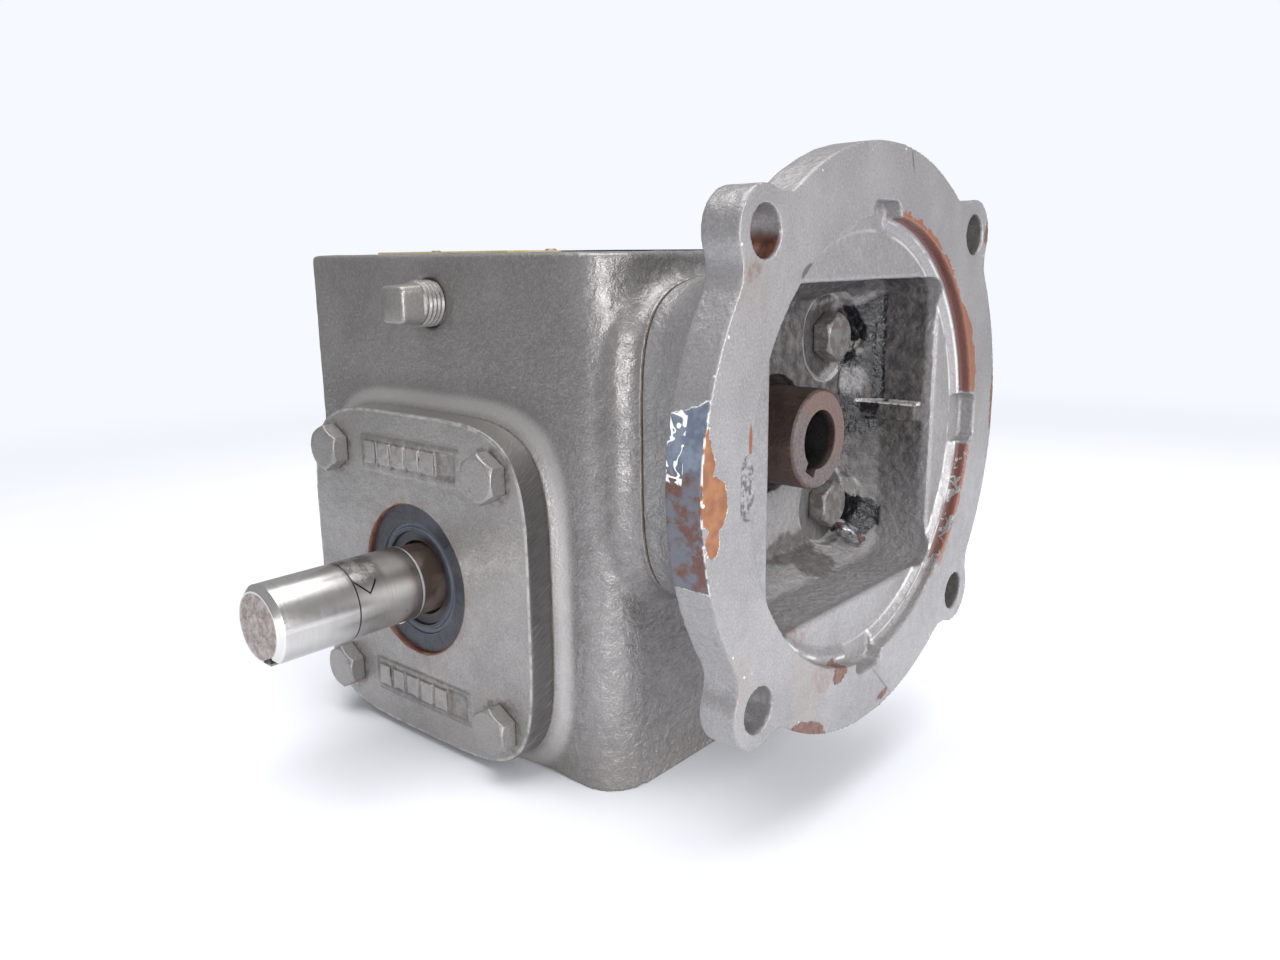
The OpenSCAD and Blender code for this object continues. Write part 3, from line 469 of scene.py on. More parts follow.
def cover_paint():
    """Enamel of the output cover, its machined rim and the rusty ring round the seal."""
    p = Paint("cover_enamel")
    colour, rough, mottle, speck = grey_enamel(p, ("#8b8987", "#969391"))
    u = p.math("ABSOLUTE", p.add(p.x, -OUT_AXIS.x))
    v = p.math("ABSOLUTE", p.add(p.z, -OUT_AXIS.z))
    both = p.add(p.math("POWER", u, COVER_POWER), p.math("POWER", v, COVER_POWER))
    outline = p.math("POWER", both, 1 / COVER_POWER)
    radius = p.vector("LENGTH", p.vector("MULTIPLY", p.vector("SUBTRACT", p.mm, OUT_AXIS), (1, 0, 1)))
    # dust and painted shade darken the hollows; worn paint and a painted highlight lighten the raised edges
    colour = p.mix(p.times(p.pointy(0.49, 0.44), 0.6), colour, "#4f463e")
    worn_edge_highlight = p.times(p.pointy(0.55, 0.62), p.noise(5, 2, 0.6))
    colour = p.mix(p.times(worn_edge_highlight, 0.7), colour, "#bcb9b6")
    # rim cut by a saw, with slanting scratches
    slant = math.radians(27)
    along = p.add(p.times(p.y, math.cos(slant)), p.times(p.z, math.sin(slant)))
    across = p.math("SUBTRACT", p.times(p.z, math.cos(slant)), p.times(p.y, math.sin(slant)))
    on_rim = p.nodes.new("ShaderNodeCombineXYZ")
    p.put(on_rim.inputs[0], p.times(along, 0.09))
    p.put(on_rim.inputs[1], across)
    scratch = p.fit(p.noise(0.45, 2, 0.6, at=on_rim.outputs[0]), 0.3, 0.7)
    strong = p.fit(p.noise(1.5, 2, 0.6, at=on_rim.outputs[0]), 0.62, 0.7)
    rim = p.times(p.fit(outline, COVER_HALF - 0.8, COVER_HALF - 0.4),
                  p.fit(p.y, COVER_FACE + 0.6, COVER_FACE + 1.0))
    metal_colour = p.mix(scratch, "#5f5d5c", "#73716f")
    metal_colour = p.mix(p.times(strong, 0.5), metal_colour, "#a3a19f")
    metal_colour = p.mix(p.fit(p.z, -12, 2, 0, 0.7), metal_colour, "#94918e")
    colour = p.mix(rim, colour, metal_colour)
    # rust where the seal sits, heavier to the left and below
    lean = p.add(p.times(p.add(p.x, -OUT_AXIS.x), -0.6), p.times(p.add(p.z, -OUT_AXIS.z), -0.5))
    ring = p.add(p.math("SUBTRACT", 22.9, radius), p.times(p.fit(lean, -4, 16), 0.6))
    ring = p.least(p.add(ring, p.times(ragged(p, 1.6, 0.8), 0.5)), p.math("SUBTRACT", COVER_FACE + 3, p.y))
    colour, ring_mask = lay(p, colour, ring, p.mix(p.noise(2, 2), "#4a231b", "#7d4636"), 0.25)
    grime = p.times(p.fit(radius, 29, 23), p.fit(p.noise(5, 3, 0.6), 0.35, 0.65))
    colour = p.mix(p.times(grime, 0.4), colour, "#7c6b60")
    # painted highlight along the rounded front edge of the cover
    lip = p.times(p.band(outline, COVER_HALF - 1.0, COVER_HALF - 0.2, 0.25),
                  p.band(p.y, COVER_FACE + 0.25, COVER_FACE + 0.95, 0.2))
    lip = p.times(lip, p.fit(p.noise(4, 3, 0.6), 0.34, 0.6))
    colour = p.mix(p.times(lip, 0.7), colour, "#c3c1be")
    # brown dirt and painted shade round the screw heads and in the creases of the raised frames, a painted
    # highlight on the frames' raised parts, painted shade and dirt in their recesses, and small rust spots
    off_u, off_v = p.add(u, -COVER_BOLT_OFF), p.add(v, -COVER_BOLT_OFF)
    off = p.math("SQRT", p.add(p.times(off_u, off_u), p.times(off_v, off_v)))
    dirt_noise = p.fit(p.noise(2.6, 3, 0.65), 0.42, 0.6)
    round_head_dirt_and_shade = p.times(p.band(off, 5.5, 8.4, 0.7), dirt_noise)
    framed = p.times(p.band(p.x, *FRAME_X, 0.3), p.most(*[p.band(p.z, *span, 0.3) for span in FRAME_Z]))
    in_frame = p.times(p.times(framed, p.pointy(0.5, 0.46)), p.fit(p.noise(5, 3, 0.6), 0.35, 0.65))
    raised = p.fit(p.y, COVER_FACE - 0.2, COVER_FACE - 0.45)
    colour = p.mix(p.times(p.times(framed, raised), 0.16), colour, "#b5b2b0")
    sunk = p.times(framed, p.fit(p.y, COVER_FACE - 0.22, COVER_FACE - 0.02))
    cloudy = p.fit(p.noise(3, 3, 0.6), 0.34, 0.62, 0.1, 0.45)
    colour = p.mix(p.times(sunk, cloudy), colour, "#57514d")
    dirt = p.times(p.fit(p.y, COVER_FACE + 1.4, COVER_FACE + 0.7), p.most(round_head_dirt_and_shade, in_frame))
    colour = p.mix(p.times(dirt, 0.55), colour, "#6b574a")
    spots = p.times(p.fit(p.cells(21), 0.05, 0.025), p.fit(p.noise(30), 0.5, 0.6))
    colour = p.mix(p.times(spots, 0.8), colour, "#9a5a46")
    rough = p.lerp(rim, p.lerp(ring_mask, rough, 0.7), 0.42)
    lumps = p.bump(p.fit(p.noise(2.6, 3, 0.55), 0.3, 0.7), 0.06)
    grain = p.bump(speck, 0.022, lumps)
    marks = p.bump(p.times(rim, p.add(p.times(scratch, 0.4), strong)), 0.05, grain)
    return p.finish(colour, rough, marks, metal=p.lerp(ring_mask, ALUMINIUM_FLAKE, 0.1))


# ---------------------------------------------------------------- mesh work
def grain_noise(points, size, seed):
    """Smooth noise from -1 to 1 at points in mm, with features of that size."""
    p = points / size + seed * 17.31
    cell = np.floor(p).astype(np.int64)
    f = p - cell
    f = f * f * (3 - 2 * f)
    total = np.zeros(len(p))
    for corner in itertools.product((0, 1), repeat=3):
        c = cell + corner
        h = (c[:, 0] * 73856093) ^ (c[:, 1] * 19349663) ^ (c[:, 2] * 83492791) ^ (seed * 7919)
        h = (h ^ (h >> 13)) * 1274126177
        h = ((h ^ (h >> 16)) & 0xFFFFF) / 0xFFFFF * 2 - 1
        total += h * np.prod(np.where(corner, f, 1 - f), axis=1)
    return total


def positions(mesh):
    co = np.empty(len(mesh.vertices) * 3, np.float32)
    mesh.vertices.foreach_get("co", co)
    return co.reshape(-1, 3).astype(float)


def set_positions(mesh, co):
    mesh.vertices.foreach_set("co", co.astype(np.float32).ravel())
    mesh.update()


def normals(mesh):
    n = np.empty(len(mesh.vertices) * 3, np.float32)
    mesh.vertex_normals.foreach_get("vector", n)
    return n.reshape(-1, 3).astype(float)


def new_object(name, mesh):
    made = bpy.data.objects.new(name, mesh)
    bpy.context.scene.collection.objects.link(made)
    return made


def applied(obj):
    """obj with its modifiers made real."""
    bpy.context.view_layer.update()
    graph = bpy.context.evaluated_depsgraph_get()
    mesh = bpy.data.meshes.new_from_object(obj.evaluated_get(graph))
    obj.modifiers.clear()
    old, obj.data = obj.data, mesh
    bpy.data.meshes.remove(old)
    return obj


def joined_mesh(name, meshes):
    bm = bmesh.new()
    for m in meshes:
        bm.from_mesh(m)
    bmesh.ops.remove_doubles(bm, verts=bm.verts, dist=0.002 * MM)
    mesh = bpy.data.meshes.new(name)
    bm.to_mesh(mesh)
    bm.free()
    return mesh


def block_mesh(low, high):
    """Closed block between two corners in mm."""
    bm = bmesh.new()
    corners = [bm.verts.new([(low, high)[side][axis] * MM for axis, side in enumerate(c)])
               for c in itertools.product((0, 1), repeat=3)]
    for face in ((0, 1, 3, 2), (4, 6, 7, 5), (0, 4, 5, 1), (2, 3, 7, 6), (0, 2, 6, 4), (1, 5, 7, 3)):
        bm.faces.new([corners[i] for i in face])
    mesh = bpy.data.meshes.new("block")
    bm.to_mesh(mesh)
    bm.free()
    return mesh


def voxel_shell(name, meshes, voxel):
    """One closed skin around the meshes, with even small faces."""
    obj = new_object(name, joined_mesh(name, meshes))
    m = obj.modifiers.new("skin", "REMESH")
    m.mode = "VOXEL"
    m.voxel_size = voxel * MM * 1
    return applied(obj)


def relax(mesh, weight, rounds):
    """Moves each vertex towards the middle of its neighbours, by its weight."""
    co = positions(mesh)
    pairs = np.empty(len(mesh.edges) * 2, np.int64)
    mesh.edges.foreach_get("vertices", pairs)
    a, b = pairs.reshape(-1, 2).T
    count = np.bincount(a, minlength=len(co)) + np.bincount(b, minlength=len(co))
    for _ in range(rounds):
        total = np.stack([np.bincount(a, co[b, k], len(co)) + np.bincount(b, co[a, k], len(co))
                          for k in range(3)], 1)
        co += (total / count[:, None] - co) * (weight * 0.6)[:, None]
    set_positions(mesh, co)


def limit_triangles(obj, limit=TRIANGLE_LIMIT):
    now = sum(len(p.vertices) - 2 for p in obj.data.polygons)
    if now > limit:
        m = obj.modifiers.new("fewer", "DECIMATE")
        m.ratio = limit / now
        applied(obj)
    return obj


def finish_piece(obj, material, body, nodes=()):
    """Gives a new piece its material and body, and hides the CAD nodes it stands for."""
    obj.data.materials.clear()
    obj.data.materials.append(material)
    obj.data.polygons.foreach_set("use_smooth", [True] * len(obj.data.polygons))
    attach(obj, body)
    if nodes:
        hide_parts(*nodes)
    return obj


def ramp(v, low, high):
    """0 below low, 1 above high, smooth between."""
    t = np.clip((v - low) / (high - low), 0, 1)
    return t * t * (3 - 2 * t)


def sink(mesh, depth, layers, seed):
    """Cast waviness: moves vertices inward by up to depth, an array in mm."""
    co = positions(mesh)
    n = normals(mesh)
    total = np.zeros(len(co))
    share = 0
    for size, weight in layers:
        total += weight * grain_noise(co / MM, size, seed)
        share += weight
        seed += 1
    amount = depth * np.clip(0.5 + 0.5 * total / share * 1.6, 0, 1)
    set_positions(mesh, co - n * (amount * MM)[:, None])


def make_housing():
    obj = voxel_shell("housing_casting", [frame["nodes"]["housing"].data], 0.8)
    co = positions(obj.data) / MM
    x, y, z = co.T
    machined = np.maximum.reduce([ramp(z, -94.5, -95.8), ramp(x, -43.2, -42.6), ramp(y, -50.5, -51)])
    inside = ((abs(y) < 43) & (x > -176) & (x < -52) & (z < 44) & (z > -92)).astype(float)
    relax(obj.data, 1 - machined * 0.9, 6)
    u, w = abs(x - OUT_AXIS.x), abs(z - OUT_AXIS.z)
    outline = (u ** COVER_POWER + w ** COVER_POWER) ** (1 / COVER_POWER)
    reach, rise = 6.5, 2.6
    slope = np.clip(1 - (outline - COVER_HALF) / reach, 0, 1)
    at_wall = ramp(y, FRONT_WALL + 0.5, FRONT_WALL + 0.2) * (y > FRONT_WALL - 0.4)
    fillet = rise * (1 - np.sqrt(1 - slope ** 2)) * ramp(outline, 49.6, 50.1) * at_wall
    co = positions(obj.data)
    co[:, 1] -= fillet * MM
    set_positions(obj.data, co)
    foot = ramp(outline, 49.6, 50.2) * ramp(outline, 60, 56) * ramp(y, -46, -47.5) * ramp(y, -50.9, -50.5)
    neck_outline = (abs(y) ** 3.5 + abs(z) ** 3.5) ** (1 / 3.5)
    neck_foot = ramp(neck_outline, 41, 43) * ramp(neck_outline, 53, 50)
    neck_foot = neck_foot * ramp(x, -50, -49) * ramp(x, -43, -43.6)
    relax(obj.data, np.maximum(foot * 0.9, neck_foot), 12)
    right = ramp(x, -60, -50)
    depth = (0.28 + 0.22 * right) * (1 - 0.75 * foot)
    sink(obj.data, depth * (1 - machined) * (1 - inside), [(14, 0.6), (5, 0.8), (2.4, 0.7)], 3)
    limit_triangles(obj)
    return finish_piece(obj, cast_paint("housing_enamel", 1.0), "case", ["housing"])


def make_adapter():
    obj = voxel_shell("motor_adapter_casting", [frame["nodes"]["motor_adapter"].data], 0.45)
    co = positions(obj.data) / MM
    x, y, z = co.T
    r = np.hypot(y, z)
    at_neck_end = ramp(x, NECK_END + 1, NECK_END + 0.2)
    machined = np.maximum(ramp(x, -4.6, -3.6), at_neck_end)
    relax(obj.data, 1 - 0.75 * machined, 4)
    mouth = ramp(x, -9.5, -8) * ramp(x, -4.4, -5.2) * ramp(r, 52.5, 50.5)
    wall = np.where(x > -21, 43, 43 + (x + 21) * 0.57)
    outside = ramp(x, -10, -11) * ((abs(y) > wall) | (abs(z) > wall))
    relax(obj.data, np.maximum(mouth, outside * 0.8), 16)
    hollow = ramp(x, -5.2, -6.5) * ((abs(y) < wall) & (abs(z) < wall) & (x > -32.5)).astype(float)
    side = ramp(x, -0.8, -2.5) * ramp(r, 60, 66)
    depth = 0.06 + 0.3 * hollow + 0.14 * side + 0.25 * ramp(x, -9, -12) * (1 - hollow)
    sink(obj.data, depth * (1 - at_neck_end), [(16, 0.6), (5, 0.8), (2.2, 0.7)], 11)
    limit_triangles(obj)
    return finish_piece(obj, adapter_paint(), "case", ["motor_adapter"])


def make_cover():
    pads = []
    for z in PAD_LOWS:
        for i in range(PADS_IN_FRAME):
            x = OUT_AXIS.x + FIRST_PAD + i * PAD_STEP
            low, high = (x, COVER_FACE - PAD_RISE, z), (x + PAD_WIDE, COVER_FACE + 1, z + PAD_HIGH)
            pads.append(block_mesh(low, high))
    obj = voxel_shell("output_cover_casting", [frame["nodes"]["output_cover"].data] + pads, 0.4)
    co = positions(obj.data) / MM
    x, y, z = co.T
    front = ramp(y, COVER_FACE + 3, COVER_FACE + 1)
    on_frames = ramp(y, COVER_FACE + 0.1, COVER_FACE - 0.1)
    relax(obj.data, (0.3 + 0.7 * front) * (1 - 0.9 * on_frames), 3)
    shown = ramp(y, COVER_FACE + 0.9, COVER_FACE + 0.3)
    in_frame = ramp(y, COVER_FACE + 0.2, COVER_FACE - 0.15)
    sink(obj.data, 0.04 + 0.14 * shown + 0.2 * in_frame, [(12, 0.8), (3.5, 0.7), (1.6, 0.9)], 23)
    limit_triangles(obj)
    return finish_piece(obj, cover_paint(), "case", ["output_cover"])


def head_paint(name, grimy):
    """Enamel of screw heads; grimy is the share of brown-black dirt over them."""
    p = Paint(name)
    colour, rough, _, speck = grey_enamel(p, ("#868482", "#93908e"))
    # worn paint and a painted highlight on the heads' edges
    edge = p.times(p.pointy(0.54, 0.6), p.fit(p.noise(2.5, 2, 0.6), 0.3, 0.6))
    colour = p.mix(p.times(edge, 0.5), colour, "#bdb9b4")
    spread = p.fit(p.noise(3.4, 3, 0.65), 0.62 - 0.3 * grimy, 0.72 - 0.2 * grimy)
    dirt = p.times(spread, 0.35 + 0.45 * grimy)
    colour = p.mix(dirt, colour, p.mix(p.noise(1.5, 2), "#2e2a29", "#574a43"))
    return p.finish(colour, rough, p.bump(speck, 0.025), metal=p.lerp(dirt, ALUMINIUM_FLAKE, 0.1))


def make_heads(node, grimy):
    """Screws of one node with softened edges under the paint."""
    obj = voxel_shell(node + "_soft", [frame["nodes"][node].data], 0.26)
    relax(obj.data, np.ones(len(obj.data.vertices)), 2)
    sink(obj.data, np.full(len(obj.data.vertices), 0.1), [(3, 1), (1.2, 0.6)], 31)
    limit_triangles(obj)
    return finish_piece(obj, head_paint(node + "_enamel", grimy), "case", [node])


def make_plug(node, outward):
    """Square-head pipe plug with its thread; outward is -1 or 1 along Y."""
    low, high = (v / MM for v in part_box(node))
    middle = (low + high) / 2
    tip = (low if outward < 0 else high).y
    length = high.y - low.y
    head, half, square = 7.2, 5.6, 6.5
    thread_r, pitch, depth = 6.8, 1.41, 0.75
    turns = 72
    rounded_end = [0, 0.1, 0.25, 0.5, 0.8]
    stations = np.concatenate([rounded_end, np.linspace(1.4, head - 0.5, 6), [head - 0.1, head + 0.15],
                               np.arange(head + 0.3, length - 0.05, 0.12), [length]])
    angle = np.arange(turns) * 2 * math.pi / turns
    ring = []
    for s in stations:
        if s <= head:
            shrink = 0.4 * (1 - s / head) + 0.75 * max(0, 1 - s / 0.8) ** 2
            side = half - shrink
            c, n = np.abs(np.cos(angle)), np.abs(np.sin(angle))
            r = np.minimum((c ** square + n ** square) ** (-1 / square) * side, side * 1.26)
        else:
            wave = np.abs(((s / pitch - angle / (2 * math.pi)) % 1) * 2 - 1)
            r = thread_r - depth * wave * min(1, (s - head) / 0.5) - 0.2 * (length - s) / length
        ring.append(np.stack([r * np.cos(angle), np.full(turns, tip - outward * s), r * np.sin(angle)], 1))
    points = np.concatenate(ring) + np.array([middle.x, 0, middle.z])
    faces = []
    for k in range(0, (len(stations) - 1) * turns, turns):
        for i in range(turns):
            after = (i + 1) % turns
            faces.append((k + i, k + after, k + turns + after, k + turns + i))
    faces += [tuple(range(turns)), tuple(range(len(points) - turns, len(points)))[::-1]]
    mesh = bpy.data.meshes.new(node + "_threaded")
    mesh.from_pydata((points * MM).tolist(), [], faces)
    bm = bmesh.new()
    bm.from_mesh(mesh)
    bmesh.ops.recalc_face_normals(bm, faces=bm.faces)
    bm.to_mesh(mesh)
    bm.free()
    obj = new_object(node + "_threaded", mesh)
    return finish_piece(obj, cast_paint(node + "_enamel", 0.3, ("#85827f", "#918e8b")), "case", [node])


def make_grease_lump():
    """Wet lump of grease in the lower right corner of the pocket."""
    bm = bmesh.new()
    bmesh.ops.create_icosphere(bm, subdivisions=5, radius=1)
    mesh = bpy.data.meshes.new("grease_lump")
    bm.to_mesh(mesh)
    bm.free()
    co = positions(mesh)
    centre, half, tilt = (-26.0, 34.3, -35.4), (4.0, 7.6, 3.1), math.radians(-38)
    lumpy = 1 + 0.2 * grain_noise(co, 0.7, 5) + 0.05 * grain_noise(co, 0.3, 9)
    co = co * lumpy[:, None] * np.array(half)
    co = co @ np.array(Matrix.Rotation(tilt, 3, "X")).T + np.array(centre)
    set_positions(mesh, co * MM)
    obj = new_object("grease_lump", mesh)
    p = Paint("wet_grease")
    blotch = p.fit(p.noise(2.4, 3, 0.6), 0.36, 0.62)
    colour = p.mix(blotch, "#45454c", "#adacb0")
    colour = p.mix(p.fit(p.noise(3.4, 2), 0.58, 0.64), colour, "#6d564a")
    relief = p.bump(p.noise(2.6, 2), 0.5)
    return finish_piece(obj, p.finish(colour, 0.14, relief, metal=0.5, coat=1.0), "case")


def steel(name, tone=("#8f8c88", "#b4b1ac"), rough=(0.18, 0.34)):
    p = Paint(name)
    streak = p.noise(0.25, 2, 0.6, stretch=(0.02, 1, 0.02))
    cloud = p.noise(9, 3, 0.6)
    colour = p.mix(p.fit(p.add(p.times(streak, 0.6), p.times(cloud, 0.4)), 0.35, 0.65), *tone)
    return p.finish(colour, p.lerp(cloud, *rough), p.bump(streak, 0.012), metal=1.0)


def shaft_steel():
    """Ground output shaft: turning lines, a scribed ring, stains, a brown neck and a mottled end face."""
    p = Paint("shaft_steel")
    axial = p.vector("SUBTRACT", p.mm, OUT_AXIS)
    radius = p.vector("LENGTH", p.vector("MULTIPLY", axial, (1, 0, 1)))
    line = p.fit(p.noise(0.2, 2, 0.6, stretch=(0.02, 1, 0.02)), 0.32, 0.68)
    cloud = p.fit(p.noise(8, 3, 0.6), 0.38, 0.66)
    colour = p.mix(line, "#d4d2d0", "#e1dfdd")
    colour = p.mix(p.times(cloud, 0.12), colour, "#a8a099")
    colour = p.mix(p.fit(p.math("ABSOLUTE", p.add(p.y, -SCRIBED_RING)), 0.32, 0.12), colour, "#4b4845")
    # grey patches beside the scribed ring, and a short scrawl
    near_mark = p.times(p.band(p.y, SCRIBED_RING - 1, SCRIBED_RING + 10, 1.2),
                        p.band(p.z, OUT_AXIS.z + 6.8, OUT_AXIS.z + 12, 0.8))
    patch = p.times(near_mark, p.fit(p.noise(4, 3, 0.7), 0.36, 0.56))
    colour = p.mix(p.times(patch, 0.6), colour, "#5f5853")
    from_peak = p.math("ABSOLUTE", p.add(p.y, -SCRIBED_RING - 3.9))
    zigzag = p.math("ABSOLUTE", p.math("SUBTRACT", from_peak, p.add(p.z, -OUT_AXIS.z - 4)))
    scrawl = p.times(p.band(p.y, SCRIBED_RING + 0.3, SCRIBED_RING + 6.9, 0.2), p.fit(zigzag, 0.45, 0.2))
    scrawl = p.times(scrawl, p.fit(p.x, OUT_AXIS.x + 7, OUT_AXIS.x + 8))
    scrawl = p.times(scrawl, p.band(p.z, OUT_AXIS.z + 3, OUT_AXIS.z + 8.5, 0.3))
    colour = p.mix(scrawl, colour, "#2f2b2b")
    colour = p.mix(p.times(p.fit(p.cells(11), 0.045, 0.03), 0.6), colour, "#8a6f62")
    # painted highlight: the shoulder's chamfer ring is coloured near-white
    shoulder = p.band(p.y, SHOULDER - 1, SHOULDER + 0.05, 0.08)
    colour = p.mix(shoulder, colour, "#f4f3f1")
    # brown neck behind the shoulder's painted highlight, painted shade in the keyway, mottled end
    neck = p.fit(p.y, SHOULDER, SHOULDER + 0.1)
    brown = p.mix(p.fit(p.noise(8, 2, 0.5), 0.36, 0.62), "#66574f", "#8f807a")
    colour = p.mix(neck, colour, brown)
    # painted shade: the keyway slot is coloured dark
    in_slot = p.fit(radius, SHAFT_R - 0.35, SHAFT_R - 0.6)
    slot = p.times(in_slot, p.band(p.y, SHAFT_TIP + 1.7, SHOULDER - 0.4, 0.1))
    colour = p.mix(slot, colour, p.mix(cloud, "#272525", "#4a4644"))
    end = p.times(p.fit(p.y, SHAFT_TIP + 0.25, SHAFT_TIP + 0.1), p.fit(radius, SHAFT_R - 1.6, SHAFT_R - 2.4))
    mould = p.mix(p.fit(p.noise(2.6, 4, 0.7), 0.36, 0.62), "#857770", "#aaa39f")
    mould = p.mix(p.fit(p.noise(1.1, 3, 0.7), 0.52, 0.66, 0, 0.6), mould, "#6b5750")
    colour = p.mix(end, colour, mould)
    dull = p.most(neck, slot, end)
    rough = p.lerp(dull, p.lerp(shoulder, p.lerp(line, 0.23, 0.27), 0.5), 0.42)
    metal = p.lerp(shoulder, p.lerp(dull, 1.0, 0.65), 0.35)
    return p.finish(colour, rough, p.bump(line, 0.0012), metal=metal)


def seal_rubber():
    """Blue-grey seal with a dark lip, a brown film near the shaft and short moulded ticks."""
    p = Paint("seal_rubber")
    axial = p.vector("SUBTRACT", p.mm, OUT_AXIS)
    radius = p.vector("LENGTH", p.vector("MULTIPLY", axial, (1, 0, 1)))
    cloud = p.fit(p.noise(6, 3, 0.6), 0.36, 0.64)
    fine = p.fit(p.noise(0.7, 3, 0.6), 0.3, 0.7)
    colour = p.mix(cloud, "#22252c", "#31363f")
    colour = p.mix(p.band(radius, 15.3, 17.2, 0.25), colour, "#434954")
    colour = p.mix(p.fit(radius, 14.6, 13.4), colour, "#1d1e22")
    colour = p.mix(p.times(p.fit(radius, 13, 11), cloud), colour, "#3c2b26")
    turn = p.math("ARCTAN2", p.add(p.x, -OUT_AXIS.x), p.add(p.z, -OUT_AXIS.z))
    tick = p.fit(p.math("ABSOLUTE", p.math("SINE", p.add(p.times(turn, 3.5), 0.15))), 0.075, 0.045)
    tick = p.times(tick, p.band(radius, 17.6, 20.6, 0.1))
    colour = p.mix(p.times(tick, 0.8), colour, "#15161a")
    colour = p.mix(p.fit(radius, 21.9, 22.4), colour, "#4a2b22")
    return p.finish(colour, p.lerp(fine, 0.34, 0.5), p.bump(fine, 0.03))


def quill_rust():
    """Hollow motor quill: rusty outside, grey-brown end ring, painted shade darkening the bore."""
    p = Paint("rusty_quill")
    radius = p.vector("LENGTH", p.vector("MULTIPLY", p.mm, (0, 1, 1)))
    broad = p.fit(p.noise(7, 3, 0.6), 0.36, 0.64)
    fine = p.fit(p.noise(0.9, 3, 0.6), 0.3, 0.7)
    colour = p.mix(p.add(p.times(broad, 0.6), p.times(fine, 0.4)), "#382c29", "#5a4842")
    ring = p.fit(p.x, QUILL_END - 0.5, QUILL_END - 0.15)
    colour = p.mix(ring, colour, p.mix(fine, "#544a4a", "#6d6364"))
    colour = p.mix(p.times(ring, p.fit(p.add(p.z, p.times(p.y, 0.8)), -4, 6, 0, 0.5)), colour, "#6e5349")
    # painted shade inside the bore, darker deeper in
    bore = p.times(p.fit(radius, 8.6, 8.2), p.fit(p.x, QUILL_END - 0.3, QUILL_END - 2.5))
    colour = p.mix(bore, colour, "#161414")
    return p.finish(colour, p.lerp(broad, 0.5, 0.72), p.bump(fine, 0.08), metal=0.25)


def simple(name, tones, rough, metal=0.0, size=2.0, depth=0.05):
    p = Paint(name)
    broad = p.noise(size * 5, 3, 0.6)
    fine = p.noise(size * 0.4, 3, 0.6)
    colour = p.mix(p.fit(p.add(p.times(broad, 0.6), p.times(fine, 0.4)), 0.35, 0.65), *tones)
    return p.finish(colour, p.lerp(broad, *rough), p.bump(fine, depth), metal=metal)


def dress_nodes():
    """Materials of the CAD nodes that are shown as they are."""
    rust = quill_rust()
    bright = shaft_steel()
    rubber = seal_rubber()
    gasket = simple("gasket_fibre", ("#4d453b", "#736a5e"), (0.6, 0.85), 0, 1.5, 0.08)
    bearing = steel("bearing_steel", ("#a4a6a8", "#c6c8ca"), (0.12, 0.22))
    spring = simple("spring_steel", ("#33353a", "#4a4c52"), (0.3, 0.5), 0.8, 2, 0.02)
    brass = simple("cage_brass", ("#94702f", "#b58f4b"), (0.25, 0.45), 1.0, 2, 0.02)
    bronze = simple("gear_bronze", ("#8a6230", "#ab7f45"), (0.25, 0.45), 1.0, 3, 0.03)
    yellow = simple("plate_yellow", ("#b9ad78", "#cdc49a"), (0.3, 0.45), 0, 4, 0.02)
    blue = simple("plate_blue", ("#1f2a45", "#2d3a5c"), (0.3, 0.45), 0, 4, 0.02)
    enamel = simple("cap_enamel", ("#7c7978", "#8c8988"), (0.34, 0.46), ALUMINIUM_FLAKE, 2.5, 0.03)
    by_slot = {"gasket": gasket, "seal_rubber": rubber, "rusty_steel": rust, "bright_steel": bright,
               "bearing_steel": bearing, "spring_steel": spring, "cage_brass": brass, "bronze": bronze,
               "plate_yellow": yellow, "plate_blue": blue, "grey_casting": enamel, "painted_steel": enamel}
    for name, obj in frame["nodes"].items():
        if obj.hide_render:
            continue
        slot = SLOT_OF[name]
        obj.data.materials.clear()
        obj.data.materials.append(by_slot[slot])


# ---------------------------------------------------------------- room and camera
BACKDROP = "#f6f9ff"


def make_floor(half=6.0, gap=0.0001):
    """Plain white floor that fades into the backdrop."""
    bm = bmesh.new()
    bmesh.ops.create_grid(bm, x_segments=8, y_segments=8, size=half)
    mesh = bpy.data.meshes.new("floor")
    bm.to_mesh(mesh)
    bm.free()
    floor = new_object("floor", mesh)
    floor.location = (0, 0, cad_bounds[0].z - gap)
    p = Paint("floor_white")
    cloud = p.noise(60, 3, 0.5)
    far = p.fit(p.vector("LENGTH", p.vector("MULTIPLY", p.mm, (1, 1, 0))), 420, 900)
    colour = p.mix(far, p.mix(cloud, "#eef0f6", "#f4f6fb"), (0, 0, 0, 1))
    p.put(p.shader.inputs["Emission Color"], p.mix(far, (0, 0, 0, 1), BACKDROP))
    path = p.nodes.new("ShaderNodeLightPath")
    p.put(p.shader.inputs["Emission Strength"], p.fit(path.outputs["Is Camera Ray"], 0, 1, 0.25, 1))
    floor.data.materials.append(p.finish(colour, 0.7, p.bump(p.noise(3), 0.02), specular=0.0))


def make_world(light=0.38):
    """Even white room, a little brighter to the camera than as light."""
    world = bpy.data.worlds.new("studio")
    bpy.context.scene.world = world
    world.use_nodes = True
    nodes, links = world.node_tree.nodes, world.node_tree.links
    nodes.clear()
    out = nodes.new("ShaderNodeOutputWorld")
    mixer = nodes.new("ShaderNodeMixShader")
    path = nodes.new("ShaderNodeLightPath")
    lit, shown = nodes.new("ShaderNodeBackground"), nodes.new("ShaderNodeBackground")
    lit.inputs["Color"].default_value = srgb("#fbfcff")
    lit.inputs["Strength"].default_value = light
    shown.inputs["Color"].default_value = srgb(BACKDROP)
    links.new(path.outputs["Is Camera Ray"], mixer.inputs[0])
    links.new(lit.outputs[0], mixer.inputs[1])
    links.new(shown.outputs[0], mixer.inputs[2])
    links.new(mixer.outputs[0], out.inputs[0])


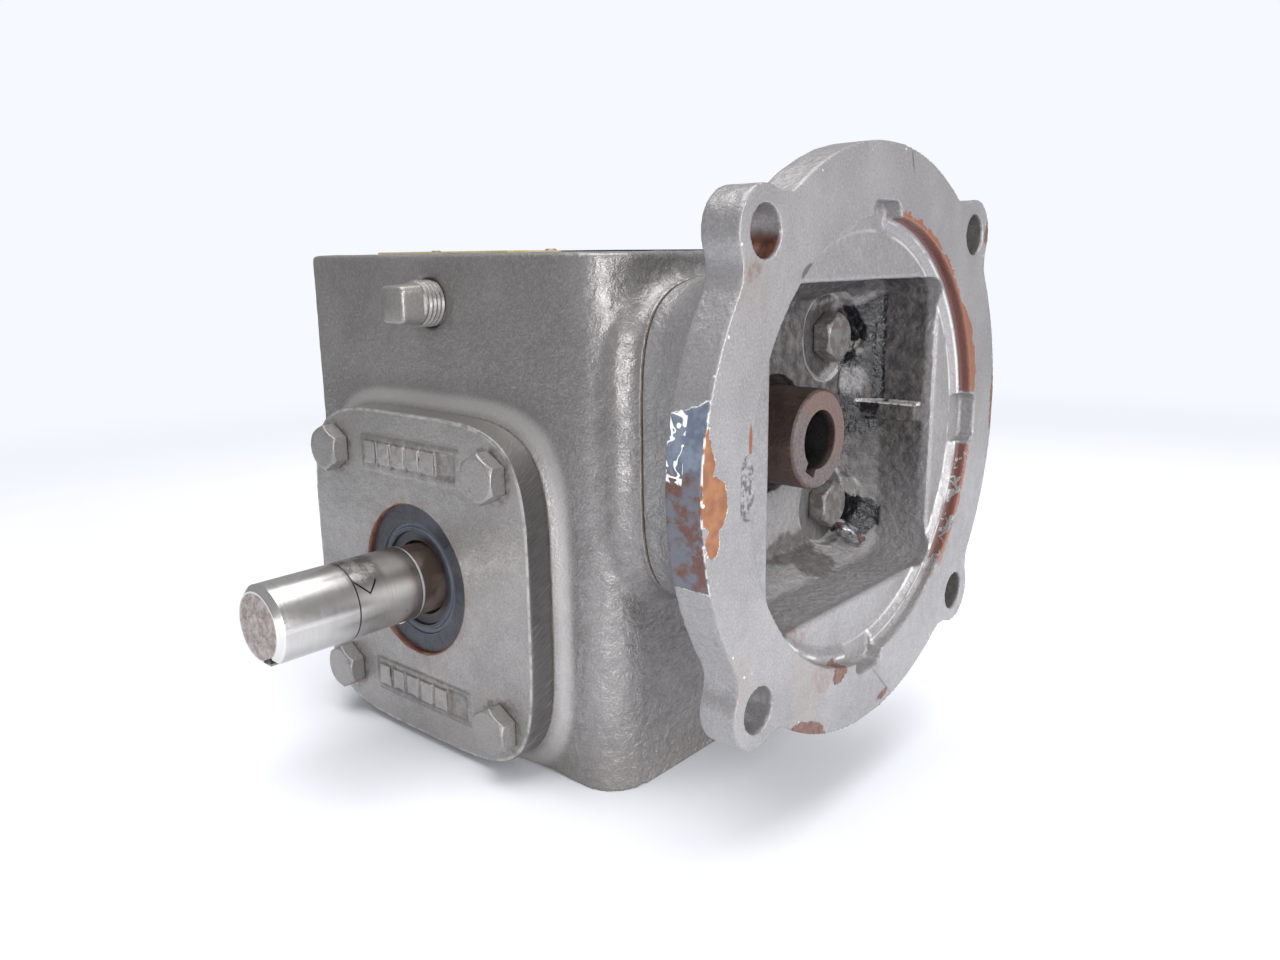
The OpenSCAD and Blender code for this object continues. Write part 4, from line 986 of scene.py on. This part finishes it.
def soft_light(name, at, towards, size, power):
    """Area light in metres and watts."""
    data = bpy.data.lights.new(name, "AREA")
    data.shape = "RECTANGLE"
    data.size, data.size_y = size
    data.energy = power
    obj = bpy.data.objects.new(name, data)
    bpy.context.scene.collection.objects.link(obj)
    obj.location = at
    obj.rotation_euler = (Vector(towards) - Vector(at)).to_track_quat("-Z", "Y").to_euler()


CAMERA_AT = (0.115086, -0.226348, 0.048378)
CAMERA_ANGLES = (40.808, 12.861, -0.670)   # azimuth from -Y towards +X, elevation, roll
CAMERA_LENS, CAMERA_SENSOR = 27.76, 36


def make_camera():
    azimuth, elevation, roll = (math.radians(a) for a in CAMERA_ANGLES)
    back = Vector((math.sin(azimuth) * math.cos(elevation), -math.cos(azimuth) * math.cos(elevation),
                   math.sin(elevation)))
    right = Vector((math.cos(azimuth), math.sin(azimuth), 0))
    up = back.cross(right)
    side = right * math.cos(roll) + up * math.sin(roll)
    up = back.cross(side)
    data = bpy.data.cameras.new("camera")
    data.sensor_width = CAMERA_SENSOR
    data.lens = CAMERA_LENS
    data.clip_start, data.clip_end = 0.01, 50
    camera = bpy.data.objects.new("camera", data)
    bpy.context.scene.collection.objects.link(camera)
    turn = Matrix((side, up, back)).transposed().to_4x4()
    camera.matrix_world = Matrix.Translation(CAMERA_AT) @ turn
    bpy.context.scene.camera = camera


SLOT_OF = {s["node"]: s["material_slot"] for s in frame["record"]["subparts"]}

make_camera()
make_housing()
make_adapter()
make_cover()
for screws, grimy in (("adapter_screws", 0.75), ("cover_screws", 0.1)):
    make_heads(screws, grimy)
for plug, outward in (("level_plug", -1), ("fill_plug", 1), ("drain_plug", 1)):
    make_plug(plug, outward)
make_grease_lump()
dress_nodes()
make_floor()
make_world()
middle = (cad_bounds[0] + cad_bounds[1]) / 2
soft_light("top_light", (-0.1, -0.05, 0.8), middle, (0.9, 0.9), 9)
soft_light("flange_light", (0.85, 0.1, 0.25), middle, (0.6, 0.6), 7.4)
soft_light("front_light", (0.5, -0.7, 0.07), middle, (0.48, 0.38), 4.7)
bpy.context.scene.view_settings.view_transform = "Standard"
